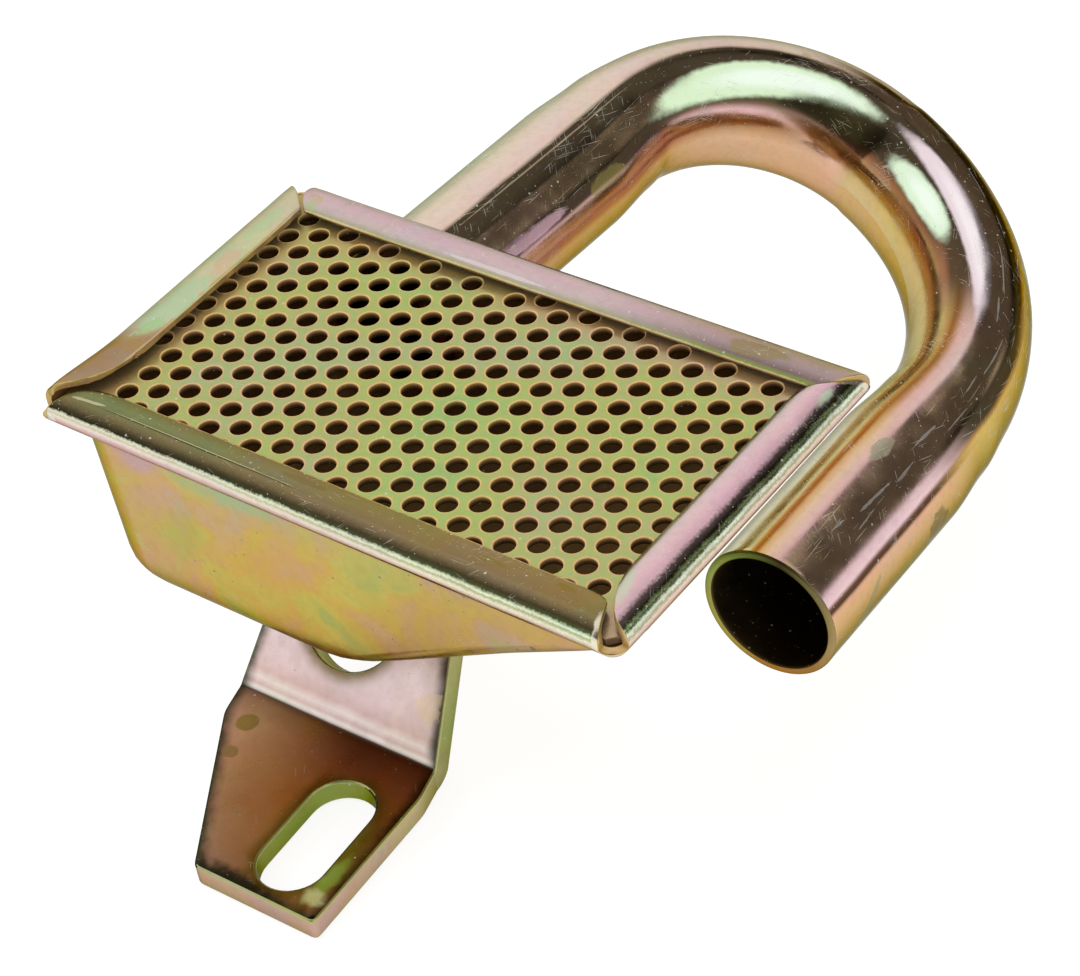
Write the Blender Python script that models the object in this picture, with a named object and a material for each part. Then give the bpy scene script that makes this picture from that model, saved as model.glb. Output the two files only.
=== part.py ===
"""Oil pickup tube: a drawn pan with a crimped screen, a bent tube and a bent mounting bracket.

Sizes are in millimetres and turned into metres when a mesh is made. The working frame has its
origin at the middle of the rim on the screen's upper face, X along the long side, Y towards the
wall that the tube enters, and Z up out of the screen. An empty carries every piece, so that the
part's own origin lies on the bracket's seat, the face that is bolted down.
"""

import math

import bmesh
import bpy
from mathutils import Matrix, Vector

MM = 0.001
GAP = 0.3  # clearance left between pieces that touch
AROUND = 4  # facets in a quarter turn of a pan corner
SIDE_SHARES = (0.04, 0.5, 0.96)  # extra points along each side of an outline
OVERCUT = 5.0  # how far a cutter runs past what it cuts

# Pan: one drawn sheet
RIM_LENGTH = 89.0
RIM_WIDTH = 53.1
NEAR_TAPER = 1.5  # how much narrower the pan is at its left end, taken from the near side
RIM_CORNER = 2.4
SHEET = 1.0
PAN_DEPTH = 31.6  # from the screen's face down to the outside of the bottom
WALL_INSET = 2.2  # how far the walls stand in from the rim's edge
WALL_DRAFT = 2.0  # degrees that the walls lean inward on their way down
WALL_CORNER = 6.0
RAMP_CORNER = 7.5
BOTTOM_RADIUS = 8.0
ROUNDING_STEPS = 5
RAMP_SHARE = 0.5473  # of the rim's length that the ramp takes up
RAMP_TOP = 4.6  # depth at which the ramp starts, below the screen's face
RAMP_BLEND = 25.0  # radius where the ramp runs into the flat bottom
FOLD_STEPS = 6
HEM_ROOT = 0.4  # height over which the wall turns out into the ledge under the screen
FLANGE = 6.0  # width of the hem folded over the screen
CROWN = {"near": 0.5, "right": 0.9, "far": 0.9, "left": 1.0}  # rise in the middle of each hem
LIP = {"near": 0.0, "right": 0.0, "far": 0.1, "left": 0.5}  # rise of its inner edge
NOTCH_INNER = 0.7  # width of the open corner slits at the window
NOTCH_OUTER = {  # and at the rim's edge
    "near_left": 2.0,
    "near_right": 2.6,
    "far_left": 2.4,
    "far_right": 1.2,
}

# Screen: perforated sheet under the hem
SCREEN_THICK = 1.0
HOLE_PITCH = 4.0
HOLE_DIAMETER = 2.92
HOLE_SIDES = 8
ROW_TURN = -2.7  # degrees that the rows of holes lie off the rim's long side
ROW_ORIGIN = (2.6, -0.94)  # centre of one hole
HOLE_BORDER = 2.2  # rows go on under the hem as far as this

# Tube: three quarter inch, bent twice
TUBE_OUTER = 19.05
TUBE_WALL = 1.2
TUBE_SIDES = 28
LEG_INSET = 16.8  # from the rim's left end to the leg's axis at the far wall
LEG_DEPTH = 13.9
LEG_LEAN = 2.9  # degrees towards the ramp's end
LEG_INSIDE = 3.0  # length that stands inside the pan
LEG_OUTSIDE = 44.9
FIRST_BEND_RADIUS = 25.7
FIRST_BEND_ANGLE = 96.5
SECOND_BEND_RADIUS = 38.0
SECOND_BEND_ANGLE = 79.9
BEND_DROP = 21.6  # degrees that the plane of the first bend falls below level
BEND_TWIST = -3.9  # degrees between the planes of the two bends
MOUTH_LEG = 40.9
FLATTEN = 0.12  # share of the diameter lost across a bend
FLATTEN_RUN = 10.0  # length over which a straight leg turns oval
FLATTEN_ENDS = 0.6  # share of the flattening where a bend meets a straight leg
MOUTH_CHAMFER = 0.4

# Bracket: plate bent like a Z
PLATE = 3.2
BEND_INNER = 1.2
FOOT_DEPTH = 50.0  # from the screen's face down to the foot's upper face
RISER_ANGLE = 43.0
BEND_Y = -15.7  # line where foot and riser meet
FOOT_END_Y = -43.7
SHOULDER_Y = -20.4  # where the foot starts to taper
TAB_LENGTH = 11.3  # under the pan, from the top of the riser
PLATE_INSET = 12.9  # from the rim's left end to the plate's straight left edge
TAB_WIDTH = 25.8
BEND_WIDTH = 32.9
SHOULDER_LEFT = 1.2  # places on the foot, from the line of that left edge
SHOULDER_RIGHT = 34.1
FOOT_LEFT = 15.7
FOOT_RIGHT = 35.2
SLOT_X = 26.2
SLOT_Y = -31.9
SLOT_WIDTH = 9.4
SLOT_LENGTH = 19.4
SLOT_TURN = 3.0  # degrees off the Y axis
HOLE_X = 13.4
HOLE_UP = 14.6  # distance up the riser from the bend line
RISER_HOLE = 15.0
HOLE_FACETS = 24
PLATE_EDGE = 0.45

# Joints
BRAZE_LEG = 1.4
BRAZE_WAIST = 0.45  # share of the leg left half way up the fillet's hollow face
BEAD_LEG = 2.0
BEAD_SIDES = 5
BEAD_START = 2.5  # along the tab from the end of the riser
BEAD_END = 2.0  # short of the tab's end
BEAD_TAPER = 0.6  # share of its size that a bead has at its ends

# The part's own origin, on the underside of the foot beside the slot
SEAT_X = 14.1
SEAT_Y = -30.0


def clear_scene():
    """Removes whatever the file opened with."""
    for obj in list(bpy.data.objects):
        bpy.data.objects.remove(obj, do_unlink=True)


def steel(name, colour, roughness):
    """A zinc-plated steel with its passivated tint."""
    made = bpy.data.materials.new(name)
    made.use_nodes = True
    shader = made.node_tree.nodes["Principled BSDF"]
    shader.inputs["Base Color"].default_value = (*colour, 1.0)
    shader.inputs["Roughness"].default_value = roughness
    shader.inputs["Metallic"].default_value = 1.0
    made.diffuse_color = (*colour, 1.0)
    return made


def add_piece(name, mesh, carrier, finish=None):
    """Links a mesh as an object on the carrier; without a finish it is a cutter."""
    obj = bpy.data.objects.new(name, mesh)
    bpy.context.scene.collection.objects.link(obj)
    obj.parent = carrier
    if finish is None:
        obj.hide_render = True
        obj.display_type = "WIRE"
    else:
        mesh.materials.append(finish)
        mesh.shade_smooth()
        mesh.set_sharp_from_angle(angle=math.radians(35))
    return obj


def finish_mesh(name, shape):
    """Turns a bmesh in millimetres into a mesh in metres with its faces pointing out."""
    bmesh.ops.recalc_face_normals(shape, faces=shape.faces)
    bmesh.ops.scale(shape, vec=(MM, MM, MM), verts=shape.verts)
    mesh = bpy.data.meshes.new(name)
    shape.to_mesh(mesh)
    shape.free()
    return mesh


def skin_rings(shape, rings, close_start=True, close_end=True):
    """Joins rings of equally many points with quads, and caps the first and last."""
    loops = [[shape.verts.new(point) for point in ring] for ring in rings]
    count = len(loops[0])
    for low, high in zip(loops, loops[1:]):
        for i in range(count):
            j = (i + 1) % count
            shape.faces.new((low[i], low[j], high[j], high[i]))
    if close_start:
        shape.faces.new(reversed(loops[0]))
    if close_end:
        shape.faces.new(loops[-1])
    return loops


def prism(name, outline, low, high, carrier, place=Matrix.Identity(4)):
    """A cutter with the outline's points, from height low to height high, then placed."""
    shape = bmesh.new()
    skin_rings(shape, [[(x, y, z) for x, y in outline] for z in (low, high)])
    bmesh.ops.transform(shape, matrix=place, verts=shape.verts)
    return add_piece(name, finish_mesh(name, shape), carrier)


def cut(target, cutter):
    """Takes the cutter out of the target when the target is evaluated."""
    change = target.modifiers.new("cut_" + cutter.name, "BOOLEAN")
    change.operation = "DIFFERENCE"
    change.solver = "EXACT"
    change.object = cutter


def circle(radius, sides, centre=(0.0, 0.0), start=0.0):
    """Points of a circle, turned by start radians."""
    turns = [start + 2 * math.pi * i / sides for i in range(sides)]
    return [(centre[0] + radius * math.cos(a), centre[1] + radius * math.sin(a)) for a in turns]


def rounded_outline(x0, x1, y0, y1, left_radius, right_radius):
    """A rectangle with rounded corners, anticlockwise from the right side's far end.

    Each corner gives AROUND + 1 points, and the side after it gives one for each of SIDE_SHARES.
    """
    corners = (
        (x1 - right_radius, y1 - right_radius, right_radius, 0),
        (x0 + left_radius, y1 - left_radius, left_radius, 1),
        (x0 + left_radius, y0 + left_radius, left_radius, 2),
        (x1 - right_radius, y0 + right_radius, right_radius, 3),
    )
    arcs = []
    for x, y, radius, quarter in corners:
        turns = [(quarter + i / AROUND) * math.pi / 2 for i in range(AROUND + 1)]
        arcs.append([Vector((x + radius * math.cos(a), y + radius * math.sin(a))) for a in turns])
    points = []
    for arc, following in zip(arcs, arcs[1:] + arcs[:1]):
        points += arc
        points += [arc[-1].lerp(following[0], share) for share in SIDE_SHARES]
    return points


def on_side(index):
    """Whether a point of a rounded outline lies between two corners, not in one."""
    return index % (AROUND + 1 + len(SIDE_SHARES)) > AROUND


# The pan

HALF_X = RIM_LENGTH / 2
HALF_Y = RIM_WIDTH / 2
LEDGE = -(SCREEN_THICK + GAP)  # height of the ledge that carries the screen
HEM_LOW = LEDGE - SHEET
HEM_HIGH = GAP + SHEET
FOLD = (HEM_HIGH - HEM_LOW) / 2  # outer radius of the fold
RAMP_RUN = RAMP_SHARE * RIM_LENGTH
RAMP_ANGLE = math.atan2(PAN_DEPTH - RAMP_TOP, RAMP_RUN)
LEG_X = LEG_INSET - HALF_X
PLATE_X = PLATE_INSET - HALF_X  # the plate's straight left edge


def tapered(x, y):
    """A point of the pan's outline, its near side brought in towards the left end."""
    share = (HALF_X - x) / RIM_LENGTH * max(0.0, -y / HALF_Y)
    return x, y + NEAR_TAPER * share


def wall_lean(z):
    """How far the drafted walls have come in at height z."""
    return (HEM_LOW - z) * math.tan(math.radians(WALL_DRAFT))


def bottom_round(z):
    """How far the rounding into the bottom has come in at height z."""
    rise = z + PAN_DEPTH
    if rise >= BOTTOM_RADIUS:
        return 0.0
    return BOTTOM_RADIUS - math.sqrt(BOTTOM_RADIUS**2 - (BOTTOM_RADIUS - rise) ** 2)


def ramp_x(z):
    """X of the ramp's face at height z, from the top of the ramp to the flat bottom."""
    foot = HALF_X - WALL_INSET - wall_lean(-RAMP_TOP) - RAMP_RUN
    rise = z + PAN_DEPTH
    tangent = RAMP_BLEND * math.tan(RAMP_ANGLE / 2)
    if rise < RAMP_BLEND * (1 - math.cos(RAMP_ANGLE)):
        return foot - tangent + math.sqrt(RAMP_BLEND**2 - (RAMP_BLEND - rise) ** 2)
    return foot + rise / math.tan(RAMP_ANGLE)


def wall_ring(z):
    """Outline of the pan's outer surface at height z."""
    inset = WALL_INSET + wall_lean(z) + bottom_round(z)
    right = HALF_X - inset if z > -RAMP_TOP else ramp_x(z)
    share = min(1.0, max(0.0, (-RAMP_TOP - z) / BOTTOM_RADIUS))
    right_radius = WALL_CORNER + share * (RAMP_CORNER - WALL_CORNER)
    left_radius = max(WALL_CORNER - 0.3 * bottom_round(z), 0.4 * WALL_CORNER)
    outline = rounded_outline(
        inset - HALF_X, right, inset - HALF_Y, HALF_Y - inset, left_radius, right_radius
    )
    return [(*tapered(x, y), z) for x, y in outline]


def hem_side(x, y):
    """Name of the side of the rim nearest to a point."""
    reach = {"left": x + HALF_X, "right": HALF_X - x, "near": y + HALF_Y, "far": HALF_Y - y}
    return min(reach, key=reach.get)


def hem_ring(inset, z, rises=None, share=1.0):
    """Outline of the hem at a distance in from the rim's edge, each side raised by its own rise."""
    radius = max(RIM_CORNER - inset, 0.25)
    outline = rounded_outline(
        inset - HALF_X, HALF_X - inset, inset - HALF_Y, HALF_Y - inset, radius, radius
    )
    ring = []
    for i, (x, y) in enumerate(outline):
        rise = share * rises[hem_side(x, y)] if rises and on_side(i) else 0.0
        ring.append((*tapered(x, y), z + rise))
    return ring


def pan_heights():
    """Heights of the wall's rings, from the bottom up to the ledge."""
    turns = [math.pi / 2 * i / ROUNDING_STEPS for i in range(ROUNDING_STEPS + 1)]
    rounding = [BOTTOM_RADIUS * (1 - math.cos(a)) - PAN_DEPTH for a in turns]
    ramp = -RAMP_TOP - BOTTOM_RADIUS / 2
    return rounding + [(rounding[-1] + ramp) / 2, ramp, -RAMP_TOP, HEM_LOW - HEM_ROOT]


def pan_rings():
    """Rings of the pan's outer surface: up the walls, out along the ledge, over the fold and in."""
    rings = [wall_ring(z) for z in pan_heights()]
    rings.append(hem_ring(FOLD, HEM_LOW))
    middle = (HEM_LOW + HEM_HIGH) / 2
    for i in range(1, FOLD_STEPS):
        a = math.pi * i / FOLD_STEPS - math.pi / 2
        rings.append(hem_ring(FOLD * (1 - math.cos(a)), middle + FOLD * math.sin(a)))
    rings.append(hem_ring(FOLD, HEM_HIGH, CROWN, 0.5))
    rings.append(hem_ring((FOLD + FLANGE) / 2, HEM_HIGH, CROWN))
    rings.append(hem_ring(FLANGE, HEM_HIGH, LIP))
    return rings


def notch_cutter(place, carrier):
    """A wedge along a corner's diagonal that opens the folded layer there."""
    sign_y = 1 if "far" in place else -1
    sign_x = 1 if "right" in place else -1
    corner = Vector(tapered(sign_x * HALF_X, sign_y * HALF_Y))
    window = Vector(tapered(sign_x * (HALF_X - FLANGE), sign_y * (HALF_Y - FLANGE)))
    along = (corner - window).normalized()
    across = Vector((-along.y, along.x))
    start = window - along
    end = corner + along
    outer = NOTCH_OUTER[place]
    outline = [
        start - across * NOTCH_INNER / 2,
        end - across * outer / 2,
        end + across * outer / 2,
        start + across * NOTCH_INNER / 2,
    ]
    points = [tuple(point) for point in outline]
    return prism("notch_" + place, points, LEDGE + GAP, HEM_HIGH + OVERCUT, carrier)


def build_pan(carrier, leg):
    """The drawn pan with its hem, notched corners and the hole for the tube."""
    shape = bmesh.new()
    skin_rings(shape, pan_rings(), close_end=False)
    mesh = finish_mesh("pan", shape)
    pan = add_piece("pan", mesh, carrier, steel("plated_pan", (0.72, 0.62, 0.36), 0.34))
    wall = pan.modifiers.new("sheet", "SOLIDIFY")
    wall.thickness = SHEET * MM
    wall.offset = -1.0
    wall.use_even_offset = True
    for place in NOTCH_OUTER:
        cut(pan, notch_cutter(place, carrier))
    opening = circle(TUBE_OUTER / 2 + GAP, TUBE_SIDES)
    cut(pan, prism("tube_opening", opening, -OVERCUT, OVERCUT, carrier, leg))
    return pan


# The screen


def hole_centres(half_x, half_y):
    """Centres of the staggered rows, on a grid turned off the rim's long side."""
    turn = Matrix.Rotation(math.radians(ROW_TURN), 2)
    column_step = HOLE_PITCH * math.sqrt(3) / 2
    reach = int(RIM_LENGTH / HOLE_PITCH)
    centres = []
    for column in range(-reach, reach + 1):
        for row in range(-reach, reach + 1):
            stagger = 0.5 if column % 2 else 0.0
            spot = turn @ Vector((column * column_step, (row + stagger) * HOLE_PITCH))
            spot += Vector(ROW_ORIGIN)
            if abs(spot.x) <= half_x and abs(spot.y) <= half_y:
                centres.append(spot)
    return centres


def build_screen(carrier):
    """A flat sheet, filled between its outline and its holes and then given its thickness."""
    edge = SHEET + GAP
    shape = bmesh.new()
    corner = RIM_CORNER
    outline = rounded_outline(
        edge - HALF_X, HALF_X - edge, edge - HALF_Y, HALF_Y - edge, corner, corner
    )
    outline = [tapered(x, y) for x, y in outline]
    border = HOLE_BORDER - HOLE_DIAMETER / 2 - FLANGE
    reach = (HALF_X + border, HALF_Y + border)
    loops = [outline] + [
        circle(HOLE_DIAMETER / 2, HOLE_SIDES, spot, math.pi / HOLE_SIDES)
        for spot in hole_centres(*reach)
    ]
    edges = []
    for loop in loops:
        ring = [shape.verts.new((*point, -SCREEN_THICK)) for point in loop]
        edges += [shape.edges.new((a, b)) for a, b in zip(ring, ring[1:] + ring[:1])]
    bmesh.ops.triangle_fill(shape, use_beauty=True, edges=edges)
    top = bmesh.ops.extrude_face_region(shape, geom=shape.faces[:])
    raised = [item for item in top["geom"] if isinstance(item, bmesh.types.BMVert)]
    bmesh.ops.translate(shape, vec=(0, 0, SCREEN_THICK), verts=raised)
    mesh = finish_mesh("screen", shape)
    return add_piece("screen", mesh, carrier, steel("plated_screen", (0.42, 0.47, 0.16), 0.4))


# The tube


def leg_frame():
    """Matrix at the middle of the tube's opening in the far wall, with its Z along the leg."""
    y = HALF_Y - WALL_INSET - wall_lean(-LEG_DEPTH) - SHEET / 2
    lean = math.radians(LEG_LEAN)
    along = Vector((math.sin(lean), math.cos(lean), 0.0))
    side = along.cross(Vector((0, 0, 1))).normalized()
    turn = Matrix((side, side.cross(-along), along)).transposed()
    return Matrix.Translation((LEG_X, y, -LEG_DEPTH)) @ turn.to_4x4()


def tube_stations(leg):
    """Centre, direction, bend normal and ovality along the tube, from inside the pan outward."""
    along = leg.col[2].xyz
    place = leg.translation - along * LEG_INSIDE
    drop = math.radians(BEND_DROP)
    inward = Vector((math.cos(drop), 0.0, -math.sin(drop)))
    inward = (inward - along * inward.dot(along)).normalized()
    stations = [(place.copy(), along.copy(), inward.copy(), 0.0)]
    straight = LEG_INSIDE + LEG_OUTSIDE
    place = place + along * (straight - FLATTEN_RUN)
    stations.append((place.copy(), along.copy(), inward.copy(), 0.0))
    place = place + along * FLATTEN_RUN
    stations.append((place.copy(), along.copy(), inward.copy(), FLATTEN_ENDS))
    bends = ((FIRST_BEND_RADIUS, FIRST_BEND_ANGLE), (SECOND_BEND_RADIUS, SECOND_BEND_ANGLE))
    for number, (radius, degrees) in enumerate(bends):
        if number:
            inward = Matrix.Rotation(math.radians(BEND_TWIST), 3, along) @ inward
        centre = place + inward * radius
        axis = along.cross(inward).normalized()
        steps = max(4, round(degrees / 8))
        start, forward, pull = place - centre, along.copy(), inward.copy()
        for i in range(1, steps + 1):
            turn = Matrix.Rotation(math.radians(degrees) * i / steps, 3, axis)
            place, along, inward = centre + turn @ start, turn @ forward, turn @ pull
            oval = FLATTEN_ENDS if number and i == steps else 1.0
            stations.append((place.copy(), along.copy(), inward.copy(), oval))
    place = place + along * FLATTEN_RUN
    stations.append((place.copy(), along.copy(), inward.copy(), 0.0))
    place = place + along * (MOUTH_LEG - FLATTEN_RUN)
    stations.append((place.copy(), along.copy(), inward.copy(), 0.0))
    return stations


def tube_ring(station, radius, slide=0.0):
    """Points round the tube at a station, flattened across the bend and widened the other way."""
    place, along, inward, oval = station
    wide = along.cross(inward)
    near = radius * (1 - FLATTEN * oval)
    broad = radius * (1 + 0.4 * FLATTEN * oval)
    centre = place + along * slide
    return [centre + inward * near * x + wide * broad * y for x, y in circle(1.0, TUBE_SIDES)]


def build_tube(carrier, leg):
    """The bent tube: its outer surface out to the mouth and its bore back again."""
    stations = tube_stations(leg)
    outer = TUBE_OUTER / 2
    bore = outer - TUBE_WALL
    rings = [tube_ring(station, outer) for station in stations[:-1]]
    rings.append(tube_ring(stations[-1], outer, -MOUTH_CHAMFER))
    rings.append(tube_ring(stations[-1], outer - MOUTH_CHAMFER))
    rings += [tube_ring(station, bore) for station in reversed(stations)]
    shape = bmesh.new()
    loops = skin_rings(shape, rings, close_start=False, close_end=False)
    first, last = loops[0], loops[-1]
    for i in range(TUBE_SIDES):
        j = (i + 1) % TUBE_SIDES
        shape.faces.new((last[i], last[j], first[j], first[i]))
    mesh = finish_mesh("tube", shape)
    return add_piece("tube", mesh, carrier, steel("plated_tube", (0.66, 0.55, 0.42), 0.25))


# The bracket

RISER = math.radians(RISER_ANGLE)
FOOT_TOP = -FOOT_DEPTH
TAB_TOP = -PAN_DEPTH - GAP


RISER_TOP_Y = BEND_Y + (TAB_TOP - FOOT_TOP) / math.tan(RISER)
TAB_END_Y = RISER_TOP_Y + TAB_LENGTH


def bracket_spine():
    """Y, Z and lean of the plate's upper face, from the foot's end to the tab's end."""
    low = (BEND_Y, FOOT_TOP)
    high = (RISER_TOP_Y, TAB_TOP)
    spine = [(FOOT_END_Y, FOOT_TOP, 0.0), (SHOULDER_Y, FOOT_TOP, 0.0)]
    spine += bend_points(low, BEND_INNER, 0.0, RISER)
    spine += bend_points(high, BEND_INNER + PLATE, RISER, 0.0)
    spine.append((TAB_END_Y, TAB_TOP, 0.0))
    return spine


def bend_points(corner, radius, lean_in, lean_out, steps=4):
    """Points of an arc that rounds a corner of the upper face between two leans."""
    half = (lean_out - lean_in) / 2
    reach = abs(radius * math.tan(half))
    side = 1 if lean_out > lean_in else -1
    start = (corner[0] - reach * math.cos(lean_in), corner[1] - reach * math.sin(lean_in))
    centre = (
        start[0] - side * radius * math.sin(lean_in),
        start[1] + side * radius * math.cos(lean_in),
    )
    points = []
    for i in range(steps + 1):
        lean = lean_in + (lean_out - lean_in) * i / steps
        y = centre[0] + side * radius * math.sin(lean)
        z = centre[1] - side * radius * math.cos(lean)
        points.append((y, z, lean))
    return points


def blend(value, low, high, start, end):
    """Straight-line value between start and end as value goes from low to high."""
    share = min(1.0, max(0.0, (value - low) / (high - low)))
    return start + (end - start) * share


def plate_edges(y, z):
    """Left and right edge of the plate at a point of its upper face."""
    if y > BEND_Y:
        return PLATE_X, PLATE_X + blend(z, FOOT_TOP, TAB_TOP, BEND_WIDTH, TAB_WIDTH)
    left = blend(y, FOOT_END_Y, SHOULDER_Y, FOOT_LEFT, SHOULDER_LEFT)
    right = blend(y, FOOT_END_Y, SHOULDER_Y, FOOT_RIGHT, SHOULDER_RIGHT)
    left = blend(y, SHOULDER_Y, BEND_Y, left, 0.0)
    right = blend(y, SHOULDER_Y, BEND_Y, right, BEND_WIDTH)
    return PLATE_X + left, PLATE_X + right


def slot_outline():
    """A slot with round ends, lying along Y and turned a little."""
    half = (SLOT_LENGTH - SLOT_WIDTH) / 2
    points = []
    for end in (1, -1):
        for i in range(9):
            a = math.pi * i / 8 + (0 if end > 0 else math.pi)
            x = SLOT_WIDTH / 2 * math.cos(a)
            points.append(Vector((x, end * half + SLOT_WIDTH / 2 * math.sin(a))))
    turn = Matrix.Rotation(math.radians(SLOT_TURN), 2)
    centre = Vector((PLATE_X + SLOT_X, SLOT_Y))
    return [tuple(turn @ point + centre) for point in points]


def build_bracket(carrier):
    """The bent plate, its tapered outline carried round both bends, with its slot and its hole."""
    rings = []
    for y, z, lean in bracket_spine():
        left, right = plate_edges(y, z)
        under = (y + PLATE * math.sin(lean), z - PLATE * math.cos(lean))
        rings.append([(left, y, z), (right, y, z), (right, *under), (left, *under)])
    shape = bmesh.new()
    skin_rings(shape, rings)
    mesh = finish_mesh("bracket", shape)
    bracket = add_piece("bracket", mesh, carrier, steel("plated_bracket", (0.6, 0.42, 0.3), 0.36))
    slot = prism("slot", slot_outline(), FOOT_TOP - PLATE - OVERCUT, FOOT_TOP + OVERCUT, carrier)
    cut(bracket, slot)
    y = BEND_Y + HOLE_UP * math.cos(RISER)
    middle = Vector((PLATE_X + HOLE_X, y, FOOT_TOP + HOLE_UP * math.sin(RISER)))
    place = Matrix.Translation(middle) @ Matrix.Rotation(RISER, 4, "X")
    hole = circle(RISER_HOLE / 2, HOLE_FACETS)
    cut(bracket, prism("hole", hole, -PLATE - OVERCUT, OVERCUT, carrier, place))
    edges = bracket.modifiers.new("edges", "BEVEL")
    edges.width = PLATE_EDGE * MM
    edges.segments = 1
    edges.limit_method = "ANGLE"
    edges.angle_limit = math.radians(60)
    return bracket


# The joints


def build_tube_weld(carrier, leg):
    """The braze fillet round the tube, cut to the drafted wall's outer face."""
    inner = TUBE_OUTER / 2 + GAP
    outer = inner + BRAZE_LEG
    seat = SHEET / 2 + GAP
    waist = (inner + BRAZE_WAIST * BRAZE_LEG, seat + (1 - BRAZE_WAIST) * BRAZE_LEG)
    profile = [(inner, -BRAZE_LEG), (outer, -BRAZE_LEG), (outer, seat + GAP), waist]
    profile.append((inner, seat + 1.4 * BRAZE_LEG))
    rings = []
    for x, y in circle(1.0, TUBE_SIDES):
        rings.append([leg @ Vector((x * radius, y * radius, z)) for radius, z in profile])
    shape = bmesh.new()
    loops = skin_rings(shape, rings, close_start=False, close_end=False)
    for i in range(len(profile)):
        j = (i + 1) % len(profile)
        shape.faces.new((loops[-1][i], loops[-1][j], loops[0][j], loops[0][i]))
    mesh = finish_mesh("tube_weld", shape)
    weld = add_piece("tube_weld", mesh, carrier, steel("plated_weld", (0.5, 0.42, 0.28), 0.5))
    draft = math.radians(WALL_DRAFT)
    wall = HALF_Y - WALL_INSET - wall_lean(-LEG_DEPTH) + GAP
    face = Matrix.Translation((LEG_X, wall, -LEG_DEPTH)) @ Matrix.Rotation(-draft, 4, "X")
    reach = TUBE_OUTER
    box = [(-reach, -OVERCUT), (reach, -OVERCUT), (reach, 0), (-reach, 0)]
    cut(weld, prism("wall_side", box, -reach, reach, carrier, face))
    return weld


def build_bracket_weld(name, x, side, carrier):
    """A fillet bead between the tab's side and the pan's bottom."""
    y0 = RISER_TOP_Y + BEAD_START
    y1 = TAB_END_Y - BEAD_END
    corner = Vector((x + side * GAP, 0, -PAN_DEPTH - GAP))
    rings = []
    ends = BEAD_LEG / 2
    sizes = ((y0, BEAD_TAPER), (y0 + ends, 1.0), (y1 - ends, 1.0), (y1, BEAD_TAPER))
    for y, size in sizes:
        ring = [corner + Vector((0, y, 0))]
        for i in range(BEAD_SIDES):
            a = math.pi / 2 * i / (BEAD_SIDES - 1)
            reach = BEAD_LEG * size
            ring.append(corner + Vector((side * reach * math.cos(a), y, -reach * math.sin(a))))
        rings.append(ring)
    shape = bmesh.new()
    skin_rings(shape, rings)
    mesh = finish_mesh(name, shape)
    return add_piece(name, mesh, carrier, steel("plated_" + name, (0.5, 0.42, 0.28), 0.5))


def main():
    clear_scene()
    carrier = bpy.data.objects.new("seat", None)
    carrier.location = Vector((-PLATE_X - SEAT_X, -SEAT_Y, FOOT_DEPTH + PLATE)) * MM
    bpy.context.scene.collection.objects.link(carrier)
    leg = leg_frame()
    build_pan(carrier, leg)
    build_screen(carrier)
    build_tube(carrier, leg)
    build_bracket(carrier)
    build_tube_weld(carrier, leg)
    build_bracket_weld("bracket_weld_left", PLATE_X, -1, carrier)
    build_bracket_weld("bracket_weld_right", PLATE_X + TAB_WIDTH, 1, carrier)


main()
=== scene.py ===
"""Looks of the oil pickup tube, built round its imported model.

Shapes are worked out in millimetres in the rim's own frame: its origin is at the middle of the
rim on the screen's upper face, X runs along the long side, Y towards the wall that the tube
enters and Z up out of the screen. Each finished mesh is carried into the part's frame, in metres.
"""

import logging
from dataclasses import dataclass, field
from enum import Enum
from math import asin, atan2, copysign, cos, hypot, pi, radians, sin, sqrt, tan
from typing import Any, Callable, Sequence

import bmesh
import bpy
from mathutils import Matrix, Vector, noise

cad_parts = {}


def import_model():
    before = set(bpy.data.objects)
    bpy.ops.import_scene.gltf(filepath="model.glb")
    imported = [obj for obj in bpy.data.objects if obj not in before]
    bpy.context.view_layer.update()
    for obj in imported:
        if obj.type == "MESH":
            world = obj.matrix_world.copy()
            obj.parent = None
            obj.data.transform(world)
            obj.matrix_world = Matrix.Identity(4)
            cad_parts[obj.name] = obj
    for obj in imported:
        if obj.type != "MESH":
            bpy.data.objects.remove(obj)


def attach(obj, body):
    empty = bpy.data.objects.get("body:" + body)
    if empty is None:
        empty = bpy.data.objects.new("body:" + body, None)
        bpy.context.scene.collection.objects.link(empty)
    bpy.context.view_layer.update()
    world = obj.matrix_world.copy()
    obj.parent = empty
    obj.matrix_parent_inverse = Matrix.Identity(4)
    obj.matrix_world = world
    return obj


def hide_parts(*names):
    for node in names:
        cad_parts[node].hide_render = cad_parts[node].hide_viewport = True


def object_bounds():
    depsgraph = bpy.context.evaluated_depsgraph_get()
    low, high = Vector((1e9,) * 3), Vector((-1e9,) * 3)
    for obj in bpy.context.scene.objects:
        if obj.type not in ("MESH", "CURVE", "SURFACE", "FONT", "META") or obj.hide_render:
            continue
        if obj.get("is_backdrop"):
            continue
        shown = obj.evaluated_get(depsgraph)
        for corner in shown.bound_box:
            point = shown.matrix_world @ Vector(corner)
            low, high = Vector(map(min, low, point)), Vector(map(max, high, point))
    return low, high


LOG = logging.getLogger("pickup_tube")
MM = 0.001
RIM_TO_PART = Vector((17.5, 30.0, 53.2))
MAP = "place"  # runs along and across each piece
RIM_MAP = "rim_reach"  # holds distances in from the outer and the inner outlines
REACH_SPAN = 20.0  # millimetres in one unit of such a distance
TUBE_MAP = (185.0, 60.0)  # millimetres along and round the tube in one unit of its map
PLATE_MAP = (36.0, 70.0)  # millimetres across and along the bracket in one unit of its map
DUST: tuple[float, float, float, float] = (0.12, 0.09, 0.05, 1.0)

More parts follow.
